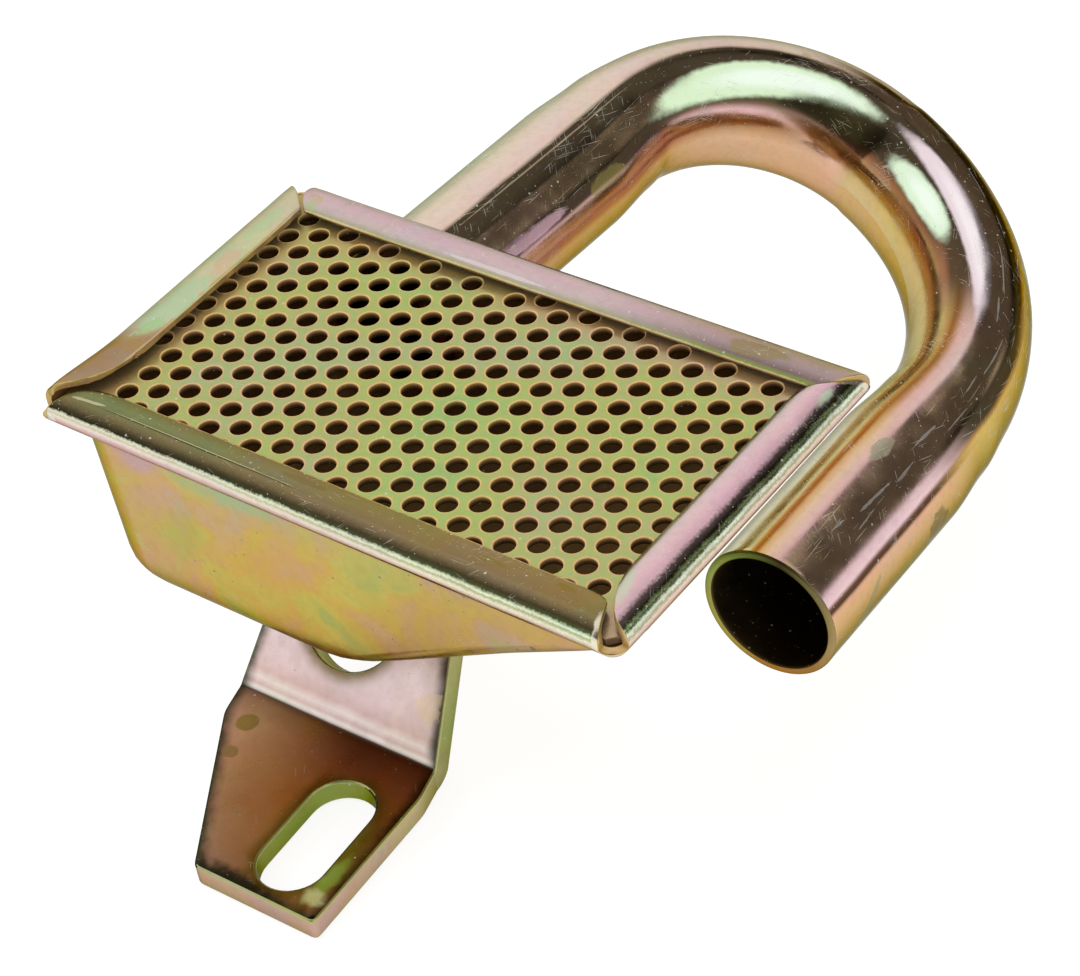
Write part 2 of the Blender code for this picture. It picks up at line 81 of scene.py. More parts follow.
Colour = tuple[float, float, float]
Stops = Sequence[tuple[float, Colour]]
Socket = bpy.types.NodeSocket
Material = bpy.types.Material
Object = bpy.types.Object
BMesh = bmesh.types.BMesh
BMVert = bmesh.types.BMVert
Finishes = Sequence[Material]
Point = tuple[float, float, float]
FlatPoint = tuple[float, float]
BARE_METAL: Colour = (0.80, 0.80, 0.74)
PIT: Colour = (0.40, 0.44, 0.44)


def linear(colour: Colour) -> tuple[float, float, float, float]:
    """Turns a display colour into the scene's linear one, with full alpha.

    Args:
        colour: Red, green and blue as they look on a screen, from 0 to 1.

    Returns:
        The same colour for a shader socket.
    """
    parts = [c / 12.92 if c <= 0.04045 else ((c + 0.055) / 1.055) ** 2.4 for c in colour]
    return parts[0], parts[1], parts[2], 1.0


def stops(*table: Sequence[Any], scale: float = 100.0) -> Stops:
    """Sets out colour stops.

    Args:
        *table: A place and a colour in hundredths, or a place and a named colour.
        scale: What the places are counted out of.

    Returns:
        The stops, with places and colours from 0 to 1.
    """
    made = []
    for place, *parts in table:
        colour = parts[0] if len(parts) == 1 else tuple(part / 100 for part in parts)
        made.append((place / scale, colour))
    return tuple(made)


def smooth(low: float, high: float, value: float) -> float:
    """Eases from 0 at low to 1 at high."""
    share = min(1.0, max(0.0, (value - low) / (high - low)))
    return share * share * (3 - 2 * share)


def along_table(pairs: Sequence[tuple[float, float]], value: float) -> float:
    """Reads a value from straight stretches between pairs.

    Args:
        pairs: Places and the values there, in rising order.
        value: The place to read at.

    Returns:
        The value there, held level outside the pairs.
    """
    if value <= pairs[0][0]:
        return pairs[0][1]
    for (x0, y0), (x1, y1) in zip(pairs, pairs[1:]):
        if value <= x1:
            return y0 + (y1 - y0) * (value - x0) / (x1 - x0)
    return pairs[-1][1]


def wander(x: float, y: float, z: float, size: float) -> float:
    """Gives a slow unevenness from -1 to 1 that changes over size millimetres."""
    return noise.noise(Vector((x, y, z)) / size)


# Nodes


class Wiring:
    """Adds the nodes of one tree and joins them."""

    def __init__(self, tree: bpy.types.NodeTree) -> None:
        """Keeps the tree that the nodes go into."""
        self.tree = tree

    def feed(self, socket: Socket, value: Any) -> None:
        """Links a socket to an input, or writes a plain value on it."""
        if isinstance(value, Socket):
            self.tree.links.new(value, socket)
        else:
            socket.default_value = value

    def node(self, kind: str, inputs: dict[Any, Any] | None = None, **settings: Any) -> bpy.types.Node:
        """Makes a node.

        Args:
            kind: Blender's name for the node type.
            inputs: Values or sockets for its inputs, by name or number.
            **settings: Properties of the node itself.

        Returns:
            The new node.
        """
        made = self.tree.nodes.new(kind)
        for name, value in settings.items():
            setattr(made, name, value)
        for name, value in (inputs or {}).items():
            self.feed(made.inputs[name], value)
        return made

    def math(self, operation: str, *values: Any, clamp: bool = False) -> Socket:
        """Works out one step of arithmetic on numbers or sockets."""
        inputs = dict(enumerate(values))
        return self.node("ShaderNodeMath", inputs, operation=operation, use_clamp=clamp).outputs[0]

    def times(self, *values: Any) -> Socket:
        """Multiplies."""
        return self.math("MULTIPLY", *values)

    def plus(self, *values: Any, clamp: bool = False) -> Socket:
        """Adds."""
        return self.math("ADD", *values, clamp=clamp)

    def less(self, *values: Any, clamp: bool = False) -> Socket:
        """Takes the second value from the first."""
        return self.math("SUBTRACT", *values, clamp=clamp)

    def most(self, *values: Any) -> Socket:
        """Keeps the greater value."""
        return self.math("MAXIMUM", *values)

    def off_middle(self, value: Any, amount: float) -> Socket:
        """Turns a value around 0.5 into one around 0, times an amount."""
        return self.times(self.less(value, 0.5), amount)

    def vector(self, numbers: dict[int, Any]) -> Socket:
        """Puts a vector together from the axes that are given."""
        return self.node("ShaderNodeCombineXYZ", numbers).outputs[0]

    def parts(self, vector: Socket) -> tuple[Socket, Socket, Socket]:
        """Takes a vector apart."""
        made = self.node("ShaderNodeSeparateXYZ", {0: vector}).outputs
        return made[0], made[1], made[2]

    def mix(self, share: Any, low: Any, high: Any, blend: str = "MIX") -> Socket:
        """Mixes two colours by a share."""
        inputs = {0: share, 6: low, 7: high}
        made = self.node("ShaderNodeMix", inputs, data_type="RGBA", blend_type=blend)
        return made.outputs[2]

    def span(self, value: Any, low: float, high: float, start: float = 0.0, end: float = 1.0) -> Socket:
        """Eases a value from the range low..high to start..end."""
        inputs = {0: value, 1: low, 2: high, 3: start, 4: end}
        return self.node("ShaderNodeMapRange", inputs, interpolation_type="SMOOTHSTEP").outputs[0]

    def noise(self, vector: Any, scale: Any, detail: float = 2.0, twist: float = 0.0) -> Socket:
        """Gives cloudy noise around 0.5."""
        inputs = {"Vector": vector, "Scale": scale, "Detail": detail, "Distortion": twist}
        return self.node("ShaderNodeTexNoise", inputs).outputs[0]

    def ramp(self, value: Any, stops: Stops, ease: str = "LINEAR") -> Socket:
        """Reads a colour from stops given as display colours."""
        made = self.node("ShaderNodeValToRGB", {0: value})
        band = made.color_ramp
        band.interpolation = ease
        while len(band.elements) < len(stops):
            band.elements.new(1.0)
        for element, (place, colour) in zip(band.elements, stops):
            element.position = place
        for element, (place, colour) in zip(band.elements, stops):
            element.color = linear(colour)
        return made.outputs[0]

    def stretch(self, vector: Any, sizes: tuple[float, float, float]) -> Socket:
        """Scales a vector by a size for each axis."""
        inputs = {0: vector, 1: sizes}
        return self.node("ShaderNodeVectorMath", inputs, operation="MULTIPLY").outputs[0]


def blank_material(name: str) -> tuple[Material, Wiring]:
    """A material with an empty tree, and the wiring to fill it."""
    made = bpy.data.materials.new(name)
    made.use_nodes = True
    made.node_tree.nodes.clear()
    return made, Wiring(made.node_tree)


class Effect(Enum):
    """The shader effects that several finishes share."""

    CLOUDS = "tint_clouds"
    SCRATCHES = "fine_scratches"
    SPECKS = "stain_specks"
    GRAIN = "plating_grain"


class Effects:
    """Builds each shared shader effect once, as a node group."""

    IRIDESCENCE: Stops = stops(
        (32, 60, 72, 44), (41, 78, 74, 40), (48, 82, 68, 38), (55, 82, 64, 50), (62, 78, 64, 62),
        (70, 66, 72, 56),
    )
    STROKES = (
        (0.05, (0.16, 6.0, 6.0)),
        (-0.35, (0.22, 7.0, 7.0)),
        (0.90, (0.35, 8.0, 8.0)),
    )

    def __init__(self) -> None:
        """Builds all four groups."""
        self.groups = {
            Effect.CLOUDS: self._clouds(),
            Effect.SCRATCHES: self._scratches(),
            Effect.SPECKS: self._specks(),
            Effect.GRAIN: self._grain(),
        }

    def _begin(
        self, effect: Effect, numbers: Sequence[str], colour: bool = False
    ) -> tuple[Wiring, Any, bpy.types.Node]:
        """Opens a group with a vector input, number inputs and one output.

        Args:
            effect: The effect that the group is for.
            numbers: Names of its number inputs.
            colour: Whether it takes and gives a colour, not a value.

        Returns:
            The group's wiring, what it is given and its output node.
        """
        tree = bpy.data.node_groups.new(effect.value, "ShaderNodeTree")
        tree.interface.new_socket(name="Vector", in_out="INPUT", socket_type="NodeSocketVector")
        for name in numbers:
            tree.interface.new_socket(name=name, in_out="INPUT", socket_type="NodeSocketFloat")
        kind = "NodeSocketColor" if colour else "NodeSocketFloat"
        if colour:
            tree.interface.new_socket(name="Colour", in_out="INPUT", socket_type=kind)
        tree.interface.new_socket(name="Result", in_out="OUTPUT", socket_type=kind)
        wiring = Wiring(tree)
        return wiring, wiring.node("NodeGroupInput").outputs, wiring.node("NodeGroupOutput")

    def _clouds(self) -> bpy.types.NodeTree:
        """Cloudy patches of green, gold, pink and lilac laid over a colour."""
        w, given, out = self._begin(Effect.CLOUDS, ("Scale", "Amount"), colour=True)
        wide = w.noise(given["Vector"], given["Scale"], 3.0, 0.6)
        tint = w.ramp(wide, self.IRIDESCENCE, "EASE")
        light = w.node("ShaderNodeRGBToBW", {0: given["Colour"]}).outputs[0]
        share = w.times(given["Amount"], w.span(light, 0.05, 0.25))
        w.feed(out.inputs[0], w.mix(share, given["Colour"], tint))
        return w.tree

    def _scratches(self) -> bpy.types.NodeTree:
        """Fine, nearly straight scratches, most of them along the map's length, in patches."""
        w, given, out = self._begin(Effect.SCRATCHES, ("Cover",))
        place = given["Vector"]
        lean = w.off_middle(given["Cover"], 0.4)
        patch = w.off_middle(w.noise(place, 0.12, 2.0), 0.45)
        raised = w.plus(lean, patch)
        found: Any = 0.0
        for turn, sizes in self.STROKES:
            inputs = {"Vector": place, "Angle": turn}
            turned = w.node("ShaderNodeVectorRotate", inputs, rotation_type="Z_AXIS").outputs[0]
            cloud = w.noise(w.stretch(turned, sizes), 1.0, 0.0)
            line = w.span(w.plus(cloud, raised), 0.77, 0.83)
            found = w.most(found, line)
        w.feed(out.inputs[0], found)
        return w.tree

    def _specks(self) -> bpy.types.NodeTree:
        """Small specks of three sizes scattered over the surface."""
        w, given, out = self._begin(Effect.SPECKS, ("Scale", "Size", "Cover"))
        found: Any = 0.0
        for finer in (1.0, 1.9, 3.1):
            scale = w.times(given["Scale"], finer)
            spots = w.node("ShaderNodeTexVoronoi", {"Vector": given["Vector"], "Scale": scale})
            near = w.math("LESS_THAN", spots.outputs["Distance"], given["Size"])
            shade = w.node("ShaderNodeSeparateColor", {0: spots.outputs["Color"]}).outputs[0]
            kept = w.times(near, w.math("LESS_THAN", shade, given["Cover"]))
            found = w.most(found, kept)
        w.feed(out.inputs[0], found)
        return w.tree

    def _grain(self) -> bpy.types.NodeTree:
        """The fine orange peel and rolling marks of plated sheet, as a height."""
        w, given, out = self._begin(Effect.GRAIN, ("Scale",))
        place, scale = given["Vector"], given["Scale"]
        fine = w.noise(place, scale, 4.0)
        slow = w.noise(place, 0.30, 1.0)
        w.feed(out.inputs[0], w.plus(w.times(fine, 0.30), w.times(slow, 0.45)))
        return w.tree

    def place(self, wiring: Wiring, effect: Effect, **inputs: Any) -> Socket:
        """Puts an effect into a material.

        Args:
            wiring: The material's own wiring.
            effect: Which effect.
            **inputs: Values or sockets for the group's inputs.

        Returns:
            The group's output.
        """
        made = wiring.node("ShaderNodeGroup", node_tree=self.groups[effect])
        for name, value in inputs.items():
            wiring.feed(made.inputs[name], value)
        return made.outputs[0]


# Finishes


@dataclass(frozen=True)
class Mark:
    """An oval at one place of a piece's map: a stain, a bare patch, a painted highlight or painted shade."""

    u: float
    v: float
    length: float
    width: float
    colour: Colour
    strength: float = 0.8
    turn: float = 0.0
    matt: float = 0.0
    ragged: float = 0.8
    soft: float = 0.23


@dataclass(frozen=True)
class Plating:
    """Zinc plating with its passivated tint, worn as on one face of the object.

    The colour runs across the piece by the bands, each a place along the map's U with the
    stops across its V, and clouds, marks, scratches and specks lie over it. On some pieces the
    bands, marks and rims also hold painted highlights, painted shade and painted dark
    reflections beside the plating's tint. A rim is the number of a distance in the rim map, a
    width in millimetres, a colour and a strength. The metal turns nearly matt where V passes
    matt_above.
    """

    name: str
    bands: Sequence[tuple[float, Stops]]
    clouds: float = 0.25
    cloud_scale: float = 0.06
    marks: Sequence[Mark] = ()
    scratches: float = 0.42
    map_size: tuple[float, float] = (0.0, 0.0)
    specks: float = 0.10
    roughness: float = 0.24
    waver: float = 0.03
    bump: float = 0.10
    dark_specks: float = 0.0
    metal: float = 1.0
    rim_tint: Colour = (0.62, 0.62, 0.54)
    grit: float = 0.0
    matt_above: float = 0.0
    rims: Sequence[tuple[int, float, Colour, float]] = ()
    line_strength: float = 0.50
    dot_strength: float = 0.62
    pit_strength: float = 0.55

    def build(self, effects: Effects) -> Material:
        """Makes the material.

        Args:
            effects: The shared shader effects.

        Returns:
            The finished material.
        """
        made, w = blank_material(self.name)
        spot = w.node("ShaderNodeTexCoord").outputs["Object"]
        place = w.stretch(spot, (1000.0, 1000.0, 1000.0))
        u, v, _ = w.parts(w.node("ShaderNodeUVMap", uv_map=MAP).outputs[0])
        across = w.plus(v, w.off_middle(w.noise(place, 0.11, 3.0), self.waver))
        if self.grit:
            across = w.plus(across, w.off_middle(w.noise(place, 2.4, 3.0), self.grit))
        colour = w.ramp(across, self.bands[0][1])
        for (start, _), (end, stops) in zip(self.bands, self.bands[1:]):
            colour = w.mix(w.span(u, start, end), colour, w.ramp(across, stops))
        colour = effects.place(
            w, Effect.CLOUDS, Vector=place, Scale=self.cloud_scale, Amount=self.clouds, Colour=colour
        )
        fine = w.noise(place, 0.9, 4.0)
        colour = w.mix(w.span(fine, 0.40, 0.80, 0.0, 0.10), colour, DUST)
        if self.rims:
            reach = w.parts(w.node("ShaderNodeUVMap", uv_map=RIM_MAP).outputs[0])
            ragged = w.off_middle(w.noise(place, 0.45, 4.0), 1.6)
            for number, width, tint, strength in self.rims:
                away = w.plus(w.times(reach[number], REACH_SPAN), ragged)
                colour = w.mix(w.span(away, 0.0, width, strength, 0.0), colour, linear(tint))
        dull: Any = 0.0
        for mark in self.marks:
            share = self._mark(w, mark, u, v, place)
            colour = w.mix(share, colour, linear(mark.colour))
            dull = w.most(dull, w.times(share, mark.matt))
        coat = place
        if self.map_size[0]:
            coat = w.vector({0: w.times(u, self.map_size[0]), 1: w.times(v, self.map_size[1])})
        lines = effects.place(w, Effect.SCRATCHES, Vector=coat, Cover=self.scratches)
        dots = effects.place(w, Effect.SPECKS, Vector=place, Scale=0.9, Size=0.15, Cover=self.specks)
        worn = w.most(w.times(lines, self.line_strength), w.times(dots, self.dot_strength))
        colour = w.mix(worn, colour, linear(BARE_METAL))
        if self.dark_specks:
            cover = self.dark_specks
            pits = effects.place(w, Effect.SPECKS, Vector=place, Scale=0.32, Size=0.13, Cover=cover)
            colour = w.mix(w.times(pits, self.pit_strength), colour, linear(PIT))
        rough = w.span(w.noise(place, 0.22, 3.0), 0.3, 0.7, self.roughness - 0.05, self.roughness + 0.07)
        rough = w.plus(rough, w.times(worn, 0.25), clamp=True)
        height = effects.place(w, Effect.GRAIN, Vector=place, Scale=2.2)
        height = w.less(height, w.times(worn, 0.35))
        bump = w.node("ShaderNodeBump", {"Height": height, "Strength": self.bump, "Distance": 0.0004})
        shine = w.less(self.metal, w.most(dull, w.times(worn, 0.8)), clamp=True)
        if self.matt_above:
            bare = w.span(v, self.matt_above - 0.06, self.matt_above, 1.0, 0.15)
            shine = w.times(shine, bare)
        inputs = {"Base Color": colour, "Metallic": shine, "Roughness": rough}
        shader = w.node("ShaderNodeBsdfPrincipled", inputs)
        w.feed(shader.inputs["Specular Tint"], linear(self.rim_tint))
        w.feed(shader.inputs["Normal"], bump.outputs[0])
        w.feed(w.node("ShaderNodeOutputMaterial").inputs[0], shader.outputs[0])
        made.diffuse_color = linear(self.bands[0][1][0][1])
        return made

    def _mark(self, w: Wiring, mark: Mark, u: Socket, v: Socket, place: Socket) -> Socket:
        """The share of a mark at each point: an oval with a ragged edge."""
        du, dv = w.less(u, mark.u), w.less(v, mark.v)
        c, s = cos(mark.turn), sin(mark.turn)
        a = w.plus(w.times(du, c / mark.length), w.times(dv, s / mark.length))
        b = w.less(w.times(dv, c / mark.width), w.times(du, s / mark.width))
        far = w.math("SQRT", w.plus(w.times(a, a), w.times(b, b)))
        ragged = w.plus(far, w.off_middle(w.noise(place, 0.7, 3.0), mark.ragged))
        return w.span(ragged, 1.05 - mark.soft, 1.05, mark.strength, 0.0)


# Mesh work


def to_mesh(shape: BMesh, name: str) -> bpy.types.Mesh:
    """Turns a shape into a mesh."""
    mesh = bpy.data.meshes.new(name)
    shape.to_mesh(mesh)
    shape.free()
    return mesh


def part_mesh(shape: BMesh, name: str) -> bpy.types.Mesh:
    """Carries a shape out of the rim's frame into the part's, in metres, as a mesh."""
    bmesh.ops.recalc_face_normals(shape, faces=shape.faces)
    bmesh.ops.translate(shape, vec=RIM_TO_PART, verts=shape.verts)
    bmesh.ops.scale(shape, vec=(MM, MM, MM), verts=shape.verts)
    return to_mesh(shape, name)


def cut_plane(shape: BMesh, spot: Any, across: Any, clear: bool = False) -> None:
    """Cuts a shape by a plane, and drops what lies beyond it if told to."""
    geometry = shape.verts[:] + shape.edges[:] + shape.faces[:]
    bmesh.ops.bisect_plane(
        shape, geom=geometry, dist=1e-4, plane_co=spot, plane_no=across, clear_outer=clear
    )


def link(name: str, data: Any) -> Object:
    """Puts an object with this data in the scene."""
    made = bpy.data.objects.new(name, data)
    bpy.context.scene.collection.objects.link(made)
    return made


class Skin:
    """A mesh of rows of points, with a map that runs along and across them."""

    def __init__(self) -> None:
        """Starts an empty mesh with its map layer."""
        self.shape = bmesh.new()
        self.map = self.shape.loops.layers.uv.new(MAP)

    def row(self, points: Sequence[Sequence[float]]) -> list[BMVert]:
        """Adds a row of points."""
        return [self.shape.verts.new(point) for point in points]

    def face(self, verts: Sequence[BMVert], spots: Sequence[FlatPoint], finish: int) -> None:
        """Adds one face with its map places and its finish."""
        made = self.shape.faces.new(verts)
        made.material_index = finish
        for loop, spot in zip(made.loops, spots):
            loop[self.map].uv = spot

    def join(
        self,
        low: Sequence[BMVert],
        high: Sequence[BMVert],
        low_map: Sequence[FlatPoint],
        high_map: Sequence[FlatPoint],
        finish: int = 0,
    ) -> None:
        """Fills the strip between two rows.

        Args:
            low: First row of points.
            high: Second row, with as many points.
            low_map: Map places of the first row, with one more than its points on a closed row.
            high_map: Map places of the second row.
            finish: Number of the finish.
        """
        count = len(low)
        for i in range(len(low_map) - 1):
            j = (i + 1) % count
            self.face(
                (low[i], low[j], high[j], high[i]),
                (low_map[i], low_map[i + 1], high_map[i + 1], high_map[i]),
                finish,
            )

    def thicken(self, depth: float, inside: int, edge: int, most: float = 1.6) -> None:
        """Gives a sheet its thickness, behind its faces, and closes its free edges.

        Args:
            depth: Thickness in millimetres.
            inside: Finish of the back faces.
            edge: Finish of the cut edges.
            most: How far a corner may be drawn out, as a share of the thickness.
        """
        shape = self.shape
        shape.normal_update()
        faces = list(shape.faces)
        rims = [(*line.verts, line.link_faces[0]) for line in shape.edges if line.is_boundary]
        back = {}
        for v in list(shape.verts):
            back[v] = shape.verts.new(v.co - v.normal * depth * min(most, v.calc_shell_factor()))
        for face in faces:
            verts = [back[v] for v in reversed(face.verts)]
            spots = [tuple(loop[self.map].uv) for loop in reversed(face.loops)]
            self.face(verts, spots, inside)
        for a, b, face in rims:
            spots = {loop.vert: tuple(loop[self.map].uv) for loop in face.loops}
            order = [loop.vert for loop in face.loops]
            if order[(order.index(a) + 1) % len(order)] is not b:
                a, b = b, a
            self.face((b, a, back[a], back[b]), (spots[b], spots[a], spots[a], spots[b]), edge)

    def round_cuts(self, edge: int, reach: float) -> None:
        """Takes the sharpness off the cut edges of a sheet.

        Args:
            edge: Finish of the cut edges.
            reach: How far the rounding goes in, in millimetres.
        """
        sharp = []
        for line in self.shape.edges:
            if sum(face.material_index == edge for face in line.link_faces) == 1:
                sharp.append(line)
        bmesh.ops.bevel(
            self.shape, geom=sharp, offset=reach, segments=2, affect="EDGES", profile=0.5, clamp_overlap=False
        )

    def finish(self, name: str, finishes: Finishes, angle: float = 38.0) -> Object:
        """Makes the object, in metres in the part's frame.

        Args:
            name: Name of the piece.
            finishes: Materials in the order of the finish numbers.
            angle: Edges sharper than this many degrees stay crisp.

        Returns:
            The new object.
        """
        return dress_mesh(name, part_mesh(self.shape, name), finishes, angle)


def dress_mesh(
    name: str, mesh: bpy.types.Mesh, finishes: Finishes, angle: float
) -> Object:
    """Links a mesh as an object with its materials and smooth faces."""
    for finish in finishes:
        mesh.materials.append(finish)
    mesh.shade_smooth()
    mesh.set_sharp_from_angle(angle=radians(angle))
    return link(name, mesh)


def bake_modifiers(obj: Object) -> None:
    """Replaces an object's mesh by the one that its modifiers make, and removes them."""
    bpy.context.view_layer.update()
    shown = obj.evaluated_get(bpy.context.evaluated_depsgraph_get())
    mesh = bpy.data.meshes.new_from_object(shown)
    obj.modifiers.clear()
    obj.data = mesh


def settle(piece: Object, slot: str, *nodes: str) -> Object:
    """Rides a piece on the object's one body and says what it stands for.

    Args:
        piece: The finished piece.
        slot: The record's material slot; not used.
        *nodes: The CAD nodes that it replaces.

    Returns:
        The piece.
    """
    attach(piece, "root")
    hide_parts(*nodes)
    LOG.info("%s: %d faces for %s", piece.name, len(piece.data.polygons), ", ".join(nodes))
    return piece


# The pan


class Side(Enum):
    """The four sides of the rim, anticlockwise, with their direction along and outward."""

    NEAR = ((1, 0), (0, -1))
    RIGHT = ((0, 1), (1, 0))
    FAR = ((-1, 0), (0, 1))
    LEFT = ((0, -1), (-1, 0))

    @property
    def long(self) -> bool:
        """Whether this is one of the two long sides."""
        return self.value[0][0] != 0


Reach = Sequence[FlatPoint]
Outline = tuple[float, float, float, tuple[float, float, float, float]]


@dataclass
class Hem:
    """One side's sheet, folded over the screen.

    The two reaches say how far the fold and the flange stop short of the rim's corner, at
    each distance in from the rim's edge. The start is the end met first going anticlockwise.
    """

    side: Side
    crown: float
    lip: float
    shoulder: float
    squareness: float
    start: Reach
    end: Reach
    start_lift: float = 0.0
    end_lift: float = 0.0
    end_squareness: float = 0.0
    finish: int = 1

    def power(self, share: float, short: float) -> float:
        """Exponent of the shoulder's curve at a place, lower where the fold is squarer."""
        own = 2 / self.squareness
        if share < 0 or not self.end_squareness:
            return own
        return own + (2 / self.end_squareness - own) * (1 - smooth(0.0, 16.0, short))


@dataclass
class Rim:
    """Sizes that the pan and the screen share."""

    length: float = 88.99
    width: float = 53.1
    taper: float = 1.5
    corners: tuple[float, float, float, float] = (1.1, 2.2, 0.7, 1.4)
    sheet: float = 1.0
    gap: float = 0.3
    flange: float = 6.0
    screen: float = 1.0

    @property
    def low(self) -> float:
        """Height of the hem's underside."""
        return -(self.screen + self.gap) - self.sheet

    @property
    def high(self) -> float:
        """Height of the folded flange's upper face at its lip."""
        return self.gap + self.sheet

    @property
    def fold(self) -> float:
        """Outer radius of the fold."""
        return (self.high - self.low) / 2

    def radii(self, side: Side) -> tuple[float, float]:
        """Corner radii at the start and the end of a side."""
        number = list(Side).index(side)
        return self.corners[number], self.corners[(number + 1) % 4]

    def half(self, side: Side) -> float:
        """Half the length of a side."""
        return (self.length if side.long else self.width) / 2

    def depth(self, side: Side) -> float:
        """Distance of a side's outer edge from the middle."""
        return (self.width if side.long else self.length) / 2

    def tapered(self, x: float, y: float) -> tuple[float, float]:
        """Brings the near side in towards the left end."""
        share = (self.length / 2 - x) / self.length * max(0.0, -y / (self.width / 2))
        return x, y + self.taper * share

    def point(self, side: Side, place: float, inset: float, z: float) -> Point:
        """A point at a place along a side and a distance in from its edge."""
        (ax, ay), (ox, oy) = side.value
        out = self.depth(side) - inset
        x, y = self.tapered(ax * place + ox * out, ay * place + oy * out)
        return x, y, z


@dataclass
class Pan:
    """The drawn pan: its walls and bottom, and the four hems folded over the screen."""

    rim: Rim
    leg: Matrix
    depth: float = 31.6
    inset: float = 2.2
    draft: float = 2.0
    wall_corner: float = 6.0
    ramp_corner: float = 7.5
    bottom_radius: float = 8.0
    ramp_share: float = 0.5473
    ramp_top: float = 4.6
    ramp_blend: float = 25.0
    split_angle: float = -16.0
    side_steps: int = 56
    corner_steps: int = 7
    uneven: float = 0.16
    opening: float = 9.825
    fold_degrees: Sequence[float] = (-90.0, -75.0, -60.0, -45.0, -30.0, split_angle)
    hems: Sequence[Hem] = field(default_factory=list)

    def __post_init__(self) -> None:
        """Sets out the four hems as they are folded at each corner."""
        self.hems = (
            Hem(
                Side.NEAR, 0.5, 0.0, 2.9, 2.4,
                ((0.0, 1.6), (1.5, 2.6), (3.0, 3.3), (4.6, 4.3), (5.6, 5.8), (6.0, 7.6)),
                ((0.0, 2.6), (2.0, 3.4), (4.0, 4.2), (5.4, 4.9), (5.8, 5.5), (6.0, 6.1)),
                finish=1,
            ),
            Hem(
                Side.RIGHT, 0.9, 0.0, 3.9, 2.0,
                ((0.0, 2.2), (1.0, 2.5), (2.0, 3.0), (3.0, 4.0), (4.0, 5.6), (5.0, 7.6), (6.0, 10.2)),
                ((0.0, 0.9), (1.5, 3.4), (3.0, 5.0), (4.5, 6.3), (6.0, 7.4)),
                finish=2,
            ),
            Hem(
                Side.FAR, 0.85, 0.1, 3.9, 2.0,
                ((0.0, 0.35), (2.0, 0.9), (4.0, 2.0), (5.2, 3.2), (6.0, 5.0)),
                ((0.0, 3.2), (1.0, 4.0), (2.0, 4.1), (3.3, 4.3), (4.5, 5.0), (6.0, 6.25)),
                end_lift=0.15, finish=3,
            ),
            Hem(
                Side.LEFT, 0.85, 0.5, 3.6, 2.0,
                ((0.0, 1.5), (1.0, 2.0), (2.0, 2.6), (3.3, 3.5), (4.5, 4.7), (6.0, 6.15)),
                ((0.0, 1.9), (1.0, 3.2), (3.0, 4.9), (4.4, 6.8), (5.3, 8.8), (6.0, 12.5)),
                start_lift=0.15, end_lift=0.12, end_squareness=4.5, finish=4,
            ),
        )

    # walls

    def lean(self, z: float) -> float:
        """How far the drafted walls have come in at height z."""
        return (self.rim.low - z) * tan(radians(self.draft))

    def rounding(self, z: float) -> float:
        """How far the rounding into the bottom has come in at height z."""
        rise = z + self.depth
        radius = self.bottom_radius
        return 0.0 if rise >= radius else radius - sqrt(radius**2 - (radius - rise) ** 2)

    def ramp_x(self, z: float) -> float:
        """X of the ramp's face at height z."""
        run = self.ramp_share * self.rim.length
        angle = atan2(self.depth - self.ramp_top, run)
        foot = self.rim.length / 2 - self.inset - self.lean(-self.ramp_top) - run
        rise = z + self.depth
        blend = self.ramp_blend
        if rise < blend * (1 - cos(angle)):
            return foot - blend * tan(angle / 2) + sqrt(blend**2 - (blend - rise) ** 2)
        return foot + rise / tan(angle)

    def wall_box(self, z: float) -> Outline:
        """Left, right and outer Y of the walls at height z, with their corner radii."""
        inset = self.inset + self.lean(z) + self.rounding(z)
        half = self.rim.length / 2
        right = half - inset if z > -self.ramp_top else self.ramp_x(z)
        share = min(1.0, max(0.0, (-self.ramp_top - z) / self.bottom_radius))
        right_radius = self.wall_corner + share * (self.ramp_corner - self.wall_corner)
        left_radius = max(self.wall_corner - 0.3 * self.rounding(z), 0.4 * self.wall_corner)
        radii = (left_radius, right_radius, right_radius, left_radius)
        return inset - half, right, self.rim.width / 2 - inset, radii

    # columns

    def shares(self) -> list[float]:
        """Places of the columns along a side, from -1 to 1, closer together at its ends."""
        count = self.side_steps
        even = [i / count for i in range(count + 1)]
        return [2 * (0.55 * e + 0.45 * (0.5 - 0.5 * cos(pi * e))) - 1 for e in even]

    def end_turns(self, hem: Hem) -> tuple[float, float]:
        """Angles round the rim's corners at which a hem's fold starts and ends."""
        turns = []
        for radius, reach in zip(self.rim.radii(hem.side), (hem.start, hem.end)):
            share = (radius - along_table(reach, 0.0)) / radius
            turns.append(asin(min(0.999, max(0.0, share))))
        return turns[0], turns[1]

    def ring(self, box: Outline) -> list[FlatPoint]:
        """Points of a rounded outline, side by side and corner by corner, anticlockwise."""
        left, right, out, radii = box
        middle, half_x, half_y = (left + right) / 2, (right - left) / 2, out
        points = []
        for number, hem in enumerate(self.hems):
            (ax, ay), (ox, oy) = hem.side.value
            half, deep = (half_x, half_y) if hem.side.long else (half_y, half_x)
            ends = radii[number], radii[(number + 1) % 4]
            turns = self.end_turns(hem)

            def spot(end: int, length: float, turned: float) -> FlatPoint:
                """A point so far along from the side's middle, or so far round its corner."""
                radius = ends[end]
                place = (half - radius) + radius * sin(turned) if turned else length
                drop = radius * (1 - cos(turned))
                place *= 1 if end else -1
                return middle + ax * place + ox * (deep - drop), ay * place + oy * (deep - drop)

            for share in self.shares():
                end = 1 if share > 0 else 0
                path = abs(share) * (half - ends[end] + ends[end] * turns[end])
                points.append(spot(end, path, max(0.0, path - (half - ends[end])) / ends[end]))
            last = pi / 2 - self.end_turns(self.hems[(number + 1) % 4])[0]
            for i in range(1, self.corner_steps):
                points.append(spot(1, 0.0, turns[1] + (last - turns[1]) * i / self.corner_steps))
        return points

